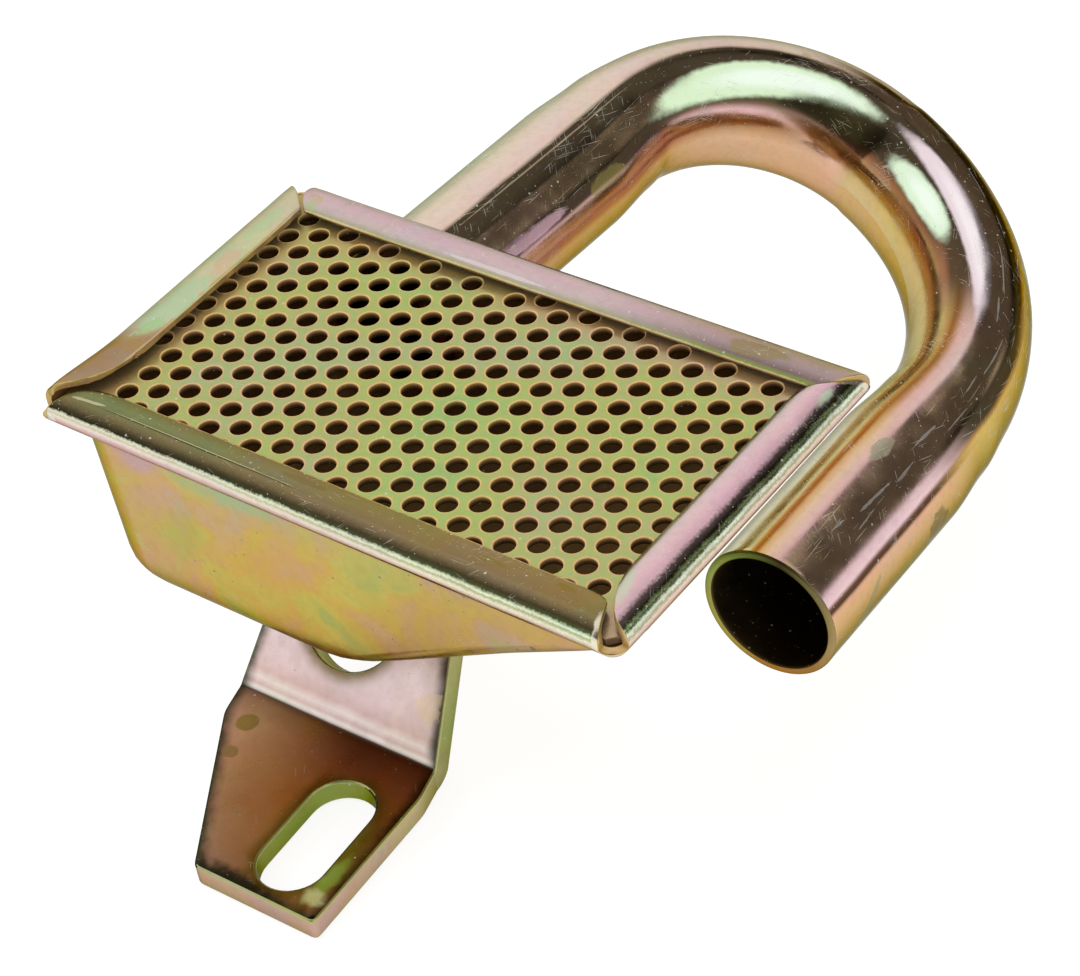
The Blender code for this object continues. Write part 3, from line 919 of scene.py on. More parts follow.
    def ring_map(self) -> list[tuple[int, float]]:
        """For each point of a ring, its side's number and its share along that side."""
        found = []
        for number in range(4):
            found += [(number, share) for share in self.shares()]
            found += [(number, 1.0)] * (self.corner_steps - 1)
        return found

    # rows

    def wall_rows(self) -> list[tuple[list[Point], float]]:
        """Rows of the walls from the middle of the bottom up to the ledge, with their heights."""
        heights = []
        for i in range(11):
            heights.append(self.bottom_radius * (1 - cos(pi / 2 * i / 10)) - self.depth)
        top = self.rim.low - 0.7
        start = heights[-1]
        heights += [start + (top - start) * i / 14 for i in range(1, 15)]
        rows = []
        for share in (0.12, 0.3, 0.5, 0.7, 0.87):
            left, right, out, radii = self.wall_box(heights[0])
            middle = (left + right) / 2
            half = (right - left) / 2 * share
            box = (middle - half, middle + half, out * share, tuple(radius * share for radius in radii))
            rows.append((self.ring(box), heights[0]))
        rows += [(self.ring(self.wall_box(z)), z) for z in heights]
        done = []
        for ring, z in rows:
            points = []
            for x, y in ring:
                x, y = self.rim.tapered(x, y)
                push = 1 - self.uneven * 0.01 * (1 + wander(x, y, z, 26.0))
                rise = self.uneven * 0.5 * (1 + wander(y, z, x, 18.0)) if z < -self.depth + 1 else 0.0
                points.append((x * push, y * push, z + rise))
            done.append((points, z))
        return done

    def rim_row(self, inset: float, z: float) -> list[Point]:
        """A closed row round the rim at a distance in from its edge."""
        radii = tuple(max(radius - inset, 0.2) for radius in self.rim.corners)
        half_x, half_y = self.rim.length / 2 - inset, self.rim.width / 2 - inset
        box = (-half_x, half_x, half_y, radii)
        return [(*self.rim.tapered(x, y), z) for x, y in self.ring(box)]

    def fold_profile(self) -> list[FlatPoint]:
        """Inset and height of the closed rows round the fold, up to the split."""
        rim, turns = self.rim, [radians(degrees) for degrees in self.fold_degrees]
        middle = (rim.low + rim.high) / 2
        return [(rim.fold * (1 - cos(a)), middle + rim.fold * sin(a)) for a in turns]

    def hem_steps(self) -> list[tuple[str, float]]:
        """The rows of a hem above the split, out to its lip, each by its stretch and step."""
        steps = [("fold", radians(self.split_angle) * (1 - i / 3)) for i in range(1, 4)]
        steps += [("shoulder", pi / 2 * i / 14) for i in range(1, 15)]
        return steps + [("flange", i / 8) for i in range(1, 9)]

    def hem_spot(self, hem: Hem, stretch: str, step: float, power: float) -> Point:
        """Inset, height and turn of one step of a hem's profile."""
        rim, middle = self.rim, (self.rim.low + self.rim.high) / 2
        rise = rim.high + hem.crown - middle
        if stretch == "fold":
            return rim.fold * (1 - cos(step)), middle + rim.fold * sin(step), step
        if stretch == "shoulder":
            inset = hem.shoulder * (1 - max(0.0, cos(step)) ** power)
            return inset, middle + rise * sin(step) ** power, step
        inset = hem.shoulder + (rim.flange - hem.shoulder) * step
        return inset, rim.high + hem.lip + (hem.crown - hem.lip) * (1 - step * step), pi / 2

    def hem_row(self, hem: Hem, stretch: str, step: float) -> list[Point]:
        """The open row of a hem at one step of its profile."""
        rim = self.rim
        half = rim.half(hem.side)
        points = []
        for share in self.shares():
            end = hem.end if share > 0 else hem.start
            lift = hem.end_lift if share > 0 else hem.start_lift
            away = half * (1 - abs(share))
            inset, z, turned = self.hem_spot(hem, stretch, step, hem.power(share, away))
            bend = 1 - smooth(radians(self.split_angle), radians(65), turned)
            top = smooth(0.1, 1.2, turned)
            radius = max(rim.radii(hem.side)[share > 0] - inset, 0.2)
            straight = half - inset - radius
            limit = half - along_table(end, inset)
            place = share * limit
            drop = 0.0
            if abs(place) > straight:
                angle = asin(min(1.0, (abs(place) - straight) / radius))
                drop = radius * (1 - cos(angle)) * bend
            short = limit - abs(place)
            bulge = lift * top * (1 - smooth(0.0, 7.0, short))
            droop = 0.12 * top * (1 - smooth(0.0, 1.6, short))
            wave = wander(place, inset * 0.6, hem.finish * 9.0, 9.0) * 0.5 + wander(place, 4.0, inset, 24.0)
            sag = self.uneven * (0.35 + 0.5 * wave) * top
            x, y, _ = rim.point(hem.side, place, inset + drop + 0.1 * max(0.0, wave) * top, z)
            points.append((x, y, z + bulge - droop - sag))
        return points

    def build(self, finishes: Finishes) -> Object:
        """Builds the pan.

        Args:
            finishes: The wall, the near, right, far and left hem, the inside and the cut edge.

        Returns:
            The finished piece.
        """
        skin = Skin()
        places = self.ring_map()
        rows = self.wall_rows()
        rim = self.rim
        rows.append((self.rim_row(self.inset - 0.05, rim.low - 0.25), rim.low - 0.25))
        wall_count = len(rows)
        rows += [(self.rim_row(inset, z), z) for inset, z in self.fold_profile()]
        columns = len(places)
        loops = [skin.row(points) for points, _ in rows]
        for number in range(len(rows) - 1):
            self._join_ring(skin, loops, rows, number, number + 1 >= wall_count, places)
        middle = skin.shape.verts.new((sum(p[0] for p in rows[0][0]) / columns, 0.0, rows[0][1] + 0.05))
        for i in range(columns):
            skin.face((loops[0][(i + 1) % columns], loops[0][i], middle), ((0, 0), (0, 0), (0, 0)), 0)
        width = len(self.shares())
        for number, hem in enumerate(self.hems):
            first = number * (width + self.corner_steps - 1)
            low = loops[-1][first : first + width]
            self._add_hem(skin, hem, low)
        skin.thicken(rim.sheet, 5, 6)
        skin.round_cuts(6, 0.13)
        pan = skin.finish("pan_shell", finishes)
        self._open_for_tube(pan)
        return pan

    def hem_lengths(self, hem: Hem) -> list[float]:
        """Distance across a hem from its lip to each row, down to the foot of the fold, from 0 to 1."""
        line = self.fold_profile()
        line += [self.hem_spot(hem, *step, hem.power(0.0, 99.0))[:2] for step in self.hem_steps()]
        line.reverse()
        lengths = [0.0]
        for (x0, z0), (x1, z1) in zip(line, line[1:]):
            lengths.append(lengths[-1] + hypot(x1 - x0, z1 - z0))
        return [length / lengths[-1] for length in lengths]

    def _join_ring(
        self, skin: Skin, loops: list, rows: list, number: int, on_hem: bool, places: list[tuple[int, float]]
    ) -> None:
        """Fills between two closed rows, with each side's own finish on the fold."""
        count = len(places)
        low, high = loops[number], loops[number + 1]
        first = len(rows) - len(self.fold_degrees)
        for i in range(count):
            j = (i + 1) % count
            side, share = places[i]
            after = places[j][1] if places[j][0] == side else 1.0
            at = 0.5 + share / 2, 0.5 + after / 2
            if on_hem:
                lengths = self.hem_lengths(self.hems[side])
                v = [lengths[-1 - max(0, row - first)] for row in (number, number + 1)]
            else:
                at = (side + at[0]) / 4, (side + at[1]) / 4
                v = [-row[1] / self.depth for row in rows[number : number + 2]]
            uv = ((at[0], v[0]), (at[1], v[0]), (at[1], v[1]), (at[0], v[1]))
            skin.face((low[i], low[j], high[j], high[i]), uv, self.hems[side].finish if on_hem else 0)

    def _add_hem(self, skin: Skin, hem: Hem, low: list[BMVert]) -> None:
        """Folds one side over from the split row up and in to its lip."""
        lengths = self.hem_lengths(hem)
        at = [0.5 + share / 2 for share in self.shares()]
        row_number = 5
        for stretch, step in self.hem_steps():
            high = skin.row(self.hem_row(hem, stretch, step))
            across = lengths[-1 - row_number], lengths[-2 - row_number]
            skin.join(low, high, [(u, across[0]) for u in at], [(u, across[1]) for u in at], hem.finish)
            low = high
            row_number += 1

    def _open_for_tube(self, pan: Object) -> None:
        """Cuts the round opening for the tube out of the far wall."""
        skin = Skin()
        count = 96
        spots = [(i / count, 0.0) for i in range(count + 1)]
        loops = []
        for reach in (-5.0, 5.0):
            turns = [2 * pi * i / count for i in range(count)]
            ring = [(self.opening * cos(a), self.opening * sin(a), reach) for a in turns]
            loops.append(skin.row([self.leg @ Vector(point) for point in ring]))
        skin.join(loops[0], loops[1], spots, spots, 0)
        skin.shape.faces.new(reversed(loops[0]))
        skin.shape.faces.new(loops[1])
        cutter = skin.finish("opening_cutter", [pan.data.materials[6]])
        cut = pan.modifiers.new("opening", "BOOLEAN")
        cut.operation = "DIFFERENCE"
        cut.solver = "EXACT"
        cut.object = cutter
        bake_modifiers(pan)
        pan.data.shade_smooth()
        pan.data.set_sharp_from_angle(angle=radians(38))
        bpy.data.objects.remove(cutter)


# The screen


@dataclass
class Screen:
    """The perforated sheet under the hems, made by Geometry Nodes."""

    rim: Rim
    thick: float = 1.0
    pitch: float = 4.0
    hole: float = 2.74
    roll: float = 0.11
    sides: int = 18
    row_turn: float = -2.7
    origin: tuple[float, float] = (2.6, -0.94)
    border: float = 2.2

    def tree(self, finish: Material) -> bpy.types.NodeTree:
        """The node tree that lays out the holes.

        Args:
            finish: The screen's material.

        Returns:
            The tree, with its sizes as named inputs.
        """
        tree = bpy.data.node_groups.new("perforated_sheet", "GeometryNodeTree")
        tree.interface.new_socket(name="Geometry", in_out="OUTPUT", socket_type="NodeSocketGeometry")
        for name in ("Pitch", "Hole Radius", "Roll", "Thickness", "Row Turn", "Reach X", "Reach Y"):
            tree.interface.new_socket(name=name, in_out="INPUT", socket_type="NodeSocketFloat")
        tree.interface.new_socket(name="Origin", in_out="INPUT", socket_type="NodeSocketVector")
        w = Wiring(tree)
        given = w.node("NodeGroupInput").outputs
        punched = self._punched_cell(w, given)
        blank = self._blank_cell(w, given)
        spots, inside = self._lattice(w, given)
        parts = w.node("GeometryNodeJoinGeometry")
        for cell, chosen in ((punched, inside), (blank, w.less(1.0, inside))):
            inputs = {"Points": spots, "Instance": cell, "Selection": chosen}
            sown = w.node("GeometryNodeInstanceOnPoints", inputs)
            turned = w.node("FunctionNodeEulerToRotation", {0: w.vector({2: given["Row Turn"]})})
            w.feed(sown.inputs["Rotation"], turned.outputs[0])
            w.feed(parts.inputs[0], sown.outputs[0])
        real = w.node("GeometryNodeRealizeInstances", {"Geometry": parts.outputs[0]})
        merged = w.node("GeometryNodeMergeByDistance", {"Geometry": real.outputs[0], "Distance": 0.01})
        dressed = w.node("GeometryNodeSetMaterial", {"Geometry": merged.outputs[0], "Material": finish})
        w.feed(w.node("NodeGroupOutput").inputs[0], dressed.outputs[0])
        return tree

    def _hexagon(self, w: Wiring, given: Any, angle: Socket) -> Socket:
        """Distance from a cell's middle to its six-sided edge at an angle."""
        sixth = pi / 3
        off = w.less(w.math("FLOORED_MODULO", angle, sixth), sixth / 2)
        return w.math("DIVIDE", w.times(given["Pitch"], 0.5), w.math("COSINE", off))

    def _around(self, w: Wiring, mesh: Socket, radius: Socket, angle: Socket, z: Any) -> Socket:
        """Sets a mesh's points at a radius, an angle and a height."""
        x, y = (w.times(radius, w.math(way, angle)) for way in ("COSINE", "SINE"))
        inputs = {"Geometry": mesh, "Position": w.vector({0: x, 1: y, 2: z})}
        return w.node("GeometryNodeSetPosition", inputs).outputs[0]

    def _switch(self, w: Wiring, index: Socket, values: Sequence[Any]) -> Socket:
        """Picks one of several values by a whole number."""
        made = w.node("GeometryNodeIndexSwitch", data_type="FLOAT")
        while len(made.index_switch_items) < len(values):
            made.index_switch_items.new()
        w.feed(made.inputs[0], index)
        for i, value in enumerate(values):
            w.feed(made.inputs[i + 1], value)
        return made.outputs[0]

    def _punched_cell(self, w: Wiring, given: Any) -> Socket:
        """One six-sided cell with its round hole and rolled edge."""
        grid = w.node("GeometryNodeMeshGrid", {"Vertices X": 5, "Vertices Y": self.sides + 1})
        index = w.node("GeometryNodeInputIndex").outputs[0]
        ring = w.math("FLOOR", w.math("DIVIDE", w.plus(index, 0.5), self.sides + 1))
        step = w.less(index, w.times(ring, self.sides + 1))
        angle = w.times(step, 2 * pi / self.sides)
        edge = self._hexagon(w, given, angle)
        hole, low = given["Hole Radius"], w.times(given["Thickness"], -1.0)
        rolled = w.plus(hole, given["Roll"])
        down = w.times(given["Roll"], -1.0)
        radius = self._switch(w, ring, (edge, rolled, hole, hole, edge))
        z = self._switch(w, ring, (0.0, 0.0, down, low, low))
        nearness = self._switch(w, ring, (0.0, 0.70, 0.80, 1.0, 0.0))
        return self._mapped(w, self._around(w, grid.outputs["Mesh"], radius, angle, z), nearness)

    def _blank_cell(self, w: Wiring, given: Any) -> Socket:
        """One six-sided cell with no hole, for the border under the hems."""
        both = w.node("GeometryNodeJoinGeometry")
        index = w.node("GeometryNodeInputIndex").outputs[0]
        angle = w.times(index, 2 * pi / self.sides)
        edge = self._hexagon(w, given, angle)
        for z in (0.0, w.times(given["Thickness"], -1.0)):
            disc = w.node("GeometryNodeMeshCircle", {"Vertices": self.sides}, fill_type="NGON")
            w.feed(both.inputs[0], self._around(w, disc.outputs[0], edge, angle, z))
        return self._mapped(w, both.outputs[0], 0.0)

    def _mapped(self, w: Wiring, cell: Socket, nearness: Any) -> Socket:
        """Writes the nearness to a hole's edge as the V of the cell's map."""
        on_points = w.node("GeometryNodeFieldOnDomain", {0: nearness}, data_type="FLOAT", domain="POINT")
        spot = w.vector({1: on_points.outputs[0]})
        kept = w.node("GeometryNodeStoreNamedAttribute", data_type="FLOAT2", domain="CORNER")
        w.feed(kept.inputs["Geometry"], cell)
        w.feed(kept.inputs["Name"], MAP)
        w.feed(kept.inputs["Value"], spot)
        return kept.outputs[0]

    def _lattice(self, w: Wiring, given: Any) -> tuple[Socket, Socket]:
        """The staggered points and whether each one carries a hole."""
        columns, rows = 31, 21
        step = w.times(given["Pitch"], sqrt(3) / 2)
        grid = w.node("GeometryNodeMeshGrid", {"Vertices X": columns, "Vertices Y": rows})
        w.feed(grid.inputs["Size X"], w.times(step, columns - 1))
        w.feed(grid.inputs["Size Y"], w.times(given["Pitch"], rows - 1))
        index = w.node("GeometryNodeInputIndex").outputs[0]
        column = w.math("FLOOR", w.math("DIVIDE", w.plus(index, 0.5), rows))
        odd = w.math("FLOORED_MODULO", w.plus(column, 1.0), 2.0)
        shift = w.times(w.times(odd, given["Pitch"]), 0.5)
        inputs = {"Geometry": grid.outputs["Mesh"], "Offset": w.vector({1: shift})}
        staggered = w.node("GeometryNodeSetPosition", inputs)
        inputs = {"Geometry": staggered.outputs[0], "Translation": given["Origin"]}
        laid = w.node("GeometryNodeTransform", inputs)
        w.feed(laid.inputs["Rotation"], w.vector({2: given["Row Turn"]}))
        at = w.parts(w.node("GeometryNodeInputPosition").outputs[0])
        in_x = w.math("LESS_THAN", w.math("ABSOLUTE", at[0]), given["Reach X"])
        in_y = w.math("LESS_THAN", w.math("ABSOLUTE", at[1]), given["Reach Y"])
        return laid.outputs[0], w.times(in_x, in_y)

    def build(self, finish: Material) -> Object:
        """Builds the screen and trims it to its outline.

        Args:
            finish: The screen's material.

        Returns:
            The finished piece.
        """
        carrier = link("screen_sheet", bpy.data.meshes.new("screen_seed"))
        lay = carrier.modifiers.new("perforations", "NODES")
        lay.node_group = self.tree(finish)
        short = self.border - self.hole / 2 - self.rim.flange
        sizes = {
            "Pitch": self.pitch,
            "Hole Radius": self.hole / 2,
            "Roll": self.roll,
            "Thickness": self.thick,
            "Row Turn": radians(self.row_turn),
            "Reach X": self.rim.length / 2 + short,
            "Reach Y": self.rim.width / 2 + short,
            "Origin": (*self.origin, 0.0),
        }
        sockets = {item.name: item.identifier for item in lay.node_group.interface.items_tree}
        for name, value in sizes.items():
            lay[sockets[name]] = value
        bake_modifiers(carrier)
        shape = bmesh.new()
        shape.from_mesh(carrier.data)
        self._trim(shape)
        self._mark_edge(shape)
        mesh = part_mesh(shape, "screen_sheet")
        bpy.data.objects.remove(carrier)
        return dress_mesh("screen_sheet", mesh, [finish], 40.0)

    def _mark_edge(self, shape: BMesh) -> None:
        """Writes how far in from the rim each place lies as the U of the map."""
        layer = shape.loops.layers.uv[MAP]
        hx, hy = self.rim.length / 2, self.rim.width / 2
        for face in shape.faces:
            for loop in face.loops:
                x, y, _ = loop.vert.co
                reach = min(x + hx, hy - y, 1.7 * (hx - x), 1.7 * (y + hy))
                loop[layer].uv = (reach / REACH_SPAN, loop[layer].uv.y)

    def _trim(self, shape: BMesh) -> None:
        """Cuts the sheet to the rim's inner outline and closes its edge."""
        rim = self.rim
        edge = rim.sheet + rim.gap
        hx, hy = rim.length / 2 - edge, rim.width / 2 - edge
        corners = [Vector((*rim.tapered(x, y), 0.0)) for x, y in ((-hx, -hy), (hx, -hy), (hx, hy), (-hx, hy))]
        planes = []
        for a, b in zip(corners, corners[1:] + corners[:1]):
            along = (b - a).normalized()
            planes.append((a, Vector((along.y, -along.x, 0.0))))
        for corner in corners:
            out = Vector((copysign(1, corner.x), copysign(1, corner.y), 0.0)).normalized()
            planes.append((corner - out * 0.9, out))
        for spot, out in planes:
            cut_plane(shape, spot, out, clear=True)
        top = [e for e in shape.edges if e.is_boundary and all(abs(v.co.z) < 1e-3 for v in e.verts)]
        walls = bmesh.ops.extrude_edge_only(shape, edges=top)
        lowered = [item for item in walls["geom"] if isinstance(item, BMVert)]
        bmesh.ops.translate(shape, vec=(0, 0, -self.thick), verts=lowered)
        bmesh.ops.remove_doubles(shape, verts=shape.verts, dist=0.01)


# The tube


@dataclass
class Tube:
    """The tube, bent twice, from inside the pan out to its open mouth."""

    outer: float = 19.05
    wall: float = 1.2
    leg_x: float = -27.7
    leg_depth: float = 13.9
    lean: float = 2.9
    inside: float = 3.0
    outside: float = 44.9
    first: tuple[float, float] = (25.7, 96.5)
    second: tuple[float, float] = (38.0, 79.9)
    drop: float = 21.6
    twist: float = -3.9
    mouth_leg: float = 40.9
    flatten: float = 0.12
    flatten_run: float = 9.0
    flatten_ends: float = 0.6
    chamfer: float = 0.4
    sides: int = 112
    spacing: float = 1.1

    def leg_frame(self, rim: Rim, pan_inset: float, draft: float) -> Matrix:
        """Matrix at the middle of the opening in the far wall, its Z along the leg."""
        come_in = (rim.low + self.leg_depth) * tan(radians(draft))
        y = rim.width / 2 - pan_inset - come_in - rim.sheet / 2
        lean = radians(self.lean)
        along = Vector((sin(lean), cos(lean), 0.0))
        side = along.cross(Vector((0, 0, 1))).normalized()
        turn = Matrix((side, side.cross(-along), along)).transposed()
        return Matrix.Translation((self.leg_x, y, -self.leg_depth)) @ turn.to_4x4()

    def stations(self, leg: Matrix) -> list[tuple[float, Vector, Vector, Vector, float]]:
        """Length, centre, direction, bend normal and ovality at each ring along the tube."""
        along = leg.col[2].xyz
        place = leg.translation - along * self.inside
        drop = radians(self.drop)
        inward = Vector((cos(drop), 0.0, -sin(drop)))
        inward = (inward - along * inward.dot(along)).normalized()
        runs: list[tuple[str, float, float]] = [("straight", self.inside + self.outside, 0.0)]
        runs += [("bend", *self.first), ("bend", *self.second), ("straight", self.mouth_leg, 0.0)]
        found = []
        gone = 0.0
        for number, (kind, size, degrees) in enumerate(runs):
            length = size if kind == "straight" else size * radians(degrees)
            if number == 2:
                inward = Matrix.Rotation(radians(self.twist), 3, along) @ inward
            steps = max(2, round(length / self.spacing))
            start = 0 if number == 0 else 1
            at, forward, pull = place.copy(), along.copy(), inward.copy()
            for i in range(start, steps + 1):
                share = i / steps
                if kind == "straight":
                    place = at + forward * length * share
                else:
                    axis = forward.cross(pull).normalized()
                    turn = Matrix.Rotation(radians(degrees) * share, 3, axis)
                    centre = at + pull * size
                    place, along, inward = centre + turn @ (at - centre), turn @ forward, turn @ pull
                oval = self._oval(number, length, length * share)
                found.append((gone + length * share, place.copy(), along.copy(), inward.copy(), oval))
            gone += length
        return found

    def _oval(self, number: int, length: float, gone: float) -> float:
        """Share of the full flattening at a place on one run of the tube."""
        ends, run = self.flatten_ends, self.flatten_run
        if number == 0:
            return ends * smooth(length - run, length, gone)
        if number == 3:
            return ends * (1 - smooth(0.0, run, gone))
        near = gone if number == 1 else length - gone
        return ends + (1 - ends) * smooth(0.0, 5.0, near)

    def ring(self, station: tuple, radius: float, slide: float = 0.0) -> list[Vector]:
        """Points round the tube at a station."""
        _, place, along, inward, oval = station
        wide = along.cross(inward)
        near = radius * (1 - self.flatten * oval)
        broad = radius * (1 + 0.4 * self.flatten * oval)
        centre = place + along * slide
        points = []
        for i in range(self.sides):
            a = 2 * pi * i / self.sides
            point = centre + inward * near * cos(a) + wide * broad * sin(a)
            dent = 0.05 * (1 + wander(point.x, point.y, point.z, 13.0)) * min(1.0, oval + 0.25)
            points.append(point - (point - centre).normalized() * dent)
        return points

    def build(self, leg: Matrix, finishes: Finishes) -> Object:
        """Builds the tube.

        Args:
            leg: Matrix at the opening in the pan.
            finishes: The outside, the mouth's edge and the bore.

        Returns:
            The finished piece.
        """
        stations = self.stations(leg)
        total = stations[-1][0]
        outer, bore = self.outer / 2, self.outer / 2 - self.wall
        rows = [(self.ring(s, outer), s[0] / total, 0) for s in stations[:-1]]
        last = stations[-1]
        for i in range(5):
            a = pi / 2 * i / 4
            away, slide = self.chamfer * (1 - cos(a)), -self.chamfer * (1 - sin(a))
            rows.append((self.ring(last, outer - away, slide), 1.0, min(i, 1)))
        for i in range(4):
            a = pi / 2 * i / 3
            away, slide = self.chamfer * (1 - sin(a)), -self.chamfer * (1 - cos(a))
            rows.append((self.ring(last, bore + away, slide), 1.0, 1 if i < 2 else 2))
        rows += [(self.ring(s, bore), s[0] / total, 2) for s in reversed(stations[:-1])]
        rows.append((rows[0][0], 0.0, 1))
        skin = Skin()
        loops = [skin.row(points) for points, _, _ in rows[:-1]]
        loops.append(loops[0])
        for i in range(len(rows) - 1):
            maps = []
            for row in (rows[i], rows[i + 1]):
                maps.append([(row[1], k / self.sides) for k in range(self.sides + 1)])
            skin.join(loops[i], loops[i + 1], maps[0], maps[1], rows[i + 1][2])
        return skin.finish("pickup_pipe", finishes, 50.0)


# The bracket


@dataclass
class Bracket:
    """The plate, cut and pierced flat and then bent twice."""

    plate: float = 3.2
    bend_inner: float = 1.2
    foot_top: float = -50.0
    tab_top: float = -31.9
    riser: float = radians(43.0)
    bend_y: float = -15.7
    foot_end_y: float = -43.7
    shoulder_y: float = -20.4
    tab_length: float = 11.3
    left: float = -31.6
    tab_width: float = 25.8
    bend_width: float = 32.9
    shoulders: tuple[float, float] = (1.2, 34.1)
    foot: tuple[float, float] = (15.7, 35.2)
    slot: tuple[float, float] = (26.2, -31.9)
    slot_size: tuple[float, float] = (9.4, 19.4)
    slot_turn: float = radians(3.0)
    hole_x: float = 13.4
    hole_up: float = 14.6
    hole_size: float = 15.0
    edge: float = 0.5
    slice: float = 2.5

    @property
    def riser_top_y(self) -> float:
        """Y where the riser meets the tab."""
        return self.bend_y + (self.tab_top - self.foot_top) / tan(self.riser)

    def spine(self) -> list[tuple[float, float, float, float]]:
        """Length, Y, Z and lean of the upper face from the foot's end to the tab's end."""
        points = [(self.foot_end_y, self.foot_top, 0.0)]
        points += self._bend((self.bend_y, self.foot_top), self.bend_inner, 0.0, self.riser)
        points += self._bend((self.riser_top_y, self.tab_top), self.bend_inner + self.plate, self.riser, 0.0)
        points.append((self.riser_top_y + self.tab_length, self.tab_top, 0.0))
        found = [(0.0, *points[0])]
        for before, after in zip(points, points[1:]):
            step = hypot(after[0] - before[0], after[1] - before[1])
            found.append((found[-1][0] + step, *after))
        return found

    def _bend(self, corner: tuple[float, float], radius: float, lean_in: float, lean_out: float) -> list:
        """Points of the arc that rounds a corner of the upper face."""
        half = (lean_out - lean_in) / 2
        reach = abs(radius * tan(half))
        side = 1 if lean_out > lean_in else -1
        start = (corner[0] - reach * cos(lean_in), corner[1] - reach * sin(lean_in))
        centre = (start[0] - side * radius * sin(lean_in), start[1] + side * radius * cos(lean_in))
        points = []
        for i in range(9):
            lean = lean_in + (lean_out - lean_in) * i / 8
            y, z = centre[0] + side * radius * sin(lean), centre[1] - side * radius * cos(lean)
            points.append((y, z, lean))
        return points

    def flat_y(self, y: float) -> float:
        """Length along the plate of a place on the foot."""
        return y - self.foot_end_y

    def outline(self, spine: list) -> list[FlatPoint]:
        """The flat plate's outline, across and along, anticlockwise."""
        length = spine[-1][0]
        bend = self.flat_y(self.bend_y)
        tab = next(s for s, _, z, lean in spine if s > bend + 3 and lean < 1e-6 and z > self.tab_top - 0.01)
        shoulder = self.flat_y(self.shoulder_y)
        right = [(self.foot[1], 0.0), (self.shoulders[1], shoulder), (self.bend_width, bend)]
        right += [(self.tab_width, tab), (self.tab_width, length)]
        left = [(0.0, length), (0.0, bend), (self.shoulders[0], shoulder), (self.foot[0], 0.0)]
        points = [(self.left + x, s) for x, s in right + left]
        return self._rounded(points, 0.9)

    def _rounded(self, points: list[FlatPoint], radius: float) -> list[FlatPoint]:
        """Rounds the corners of an outline a little."""
        made = []
        count = len(points)
        for i in range(count):
            before, here, after = (Vector(points[(i + k) % count]) for k in (-1, 0, 1))
            back, on = (before - here), (after - here)
            reach = min(radius, 0.4 * back.length, 0.4 * on.length)
            a, b = here + back.normalized() * reach, here + on.normalized() * reach
            for k in range(5):
                t = k / 4
                spot = a * (1 - t) ** 2 + here * 2 * t * (1 - t) + b * t * t
                made.append((spot.x, spot.y))
        return made

    def slot_outline(self) -> list[FlatPoint]:
        """The slot with its round ends."""
        width, length = self.slot_size
        half = (length - width) / 2
        turn = Matrix.Rotation(self.slot_turn, 2)
        centre = Vector((self.left + self.slot[0], self.flat_y(self.slot[1])))
        points = []
        for end in (1, -1):
            for i in range(21):
                a = pi * i / 20 + (0 if end > 0 else pi)
                spot = Vector((width / 2 * cos(a), end * half + width / 2 * sin(a)))
                points.append(tuple(turn @ spot + centre))
        return points

    def hole_outline(self) -> list[FlatPoint]:
        """The round hole in the riser."""
        reach = self.bend_inner * tan(self.riser / 2)
        start = self.flat_y(self.bend_y) - reach + self.bend_inner * self.riser
        centre = (self.left + self.hole_x, start + self.hole_up - reach)
        turns = [2 * pi * i / 64 for i in range(64)]
        radius = self.hole_size / 2
        return [(centre[0] + radius * cos(a), centre[1] + radius * sin(a)) for a in turns]

    def build(self, finishes: Finishes) -> Object:
        """Builds the bracket.

        Args:
            finishes: The faces, the side edges, the slot's wall and the rounded left and right edges.

        Returns:
            The finished piece.
        """
        spine = self.spine()
        skin = Skin()
        shape = skin.shape
        edges = []
        for loop in (self.outline(spine), self.slot_outline(), self.hole_outline()):
            ring = [shape.verts.new((x, s, 0.0)) for x, s in loop]
            edges += [shape.edges.new(pair) for pair in zip(ring, ring[1:] + ring[:1])]
        bmesh.ops.triangle_fill(shape, use_beauty=True, use_dissolve=True, edges=edges)
        top = bmesh.ops.extrude_face_region(shape, geom=shape.faces[:])
        lowered = [item for item in top["geom"] if isinstance(item, BMVert)]
        bmesh.ops.translate(shape, vec=(0, 0, -self.plate), verts=lowered)
        bmesh.ops.recalc_face_normals(shape, faces=shape.faces)
        shape.normal_update()
        slot = self.slot_outline()
        for face in shape.faces:
            if abs(face.normal.z) < 0.5:
                face.material_index = 2 if self._reach(face.calc_center_median().xy, slot) < 0.3 else 1
        steep = radians(60)
        sharp = [e for e in shape.edges if len(e.link_faces) == 2 and e.calc_face_angle(0.0) > steep]
        bmesh.ops.bevel(
            shape, geom=sharp, offset=self.edge, segments=3, affect="EDGES", profile=0.5, clamp_overlap=True,
            material=3,
        )
        shape.normal_update()
        for face in shape.faces:
            if face.material_index == 3 and face.normal.x > -0.15:
                face.material_index = 4
        self._slice(shape, spine)
        rims = shape.loops.layers.uv.new(RIM_MAP)
        outer, inner = self.outline(spine), (self.slot_outline(), self.hole_outline())
        reaches = {}
        for vert in shape.verts:
            away = self._reach(vert.co.xy, outer), min(self._reach(vert.co.xy, loop) for loop in inner)
            reaches[vert] = away[0] / REACH_SPAN, away[1] / REACH_SPAN
        for face in shape.faces:
            for loop in face.loops:
                x, s, _ = loop.vert.co
                loop[skin.map].uv = ((x - self.left) / PLATE_MAP[0], s / PLATE_MAP[1])
                loop[rims].uv = reaches[loop.vert]
        for vert in shape.verts:
            vert.co = self._bent(vert.co, spine)
        return skin.finish("mounting_bracket", finishes, 34.0)

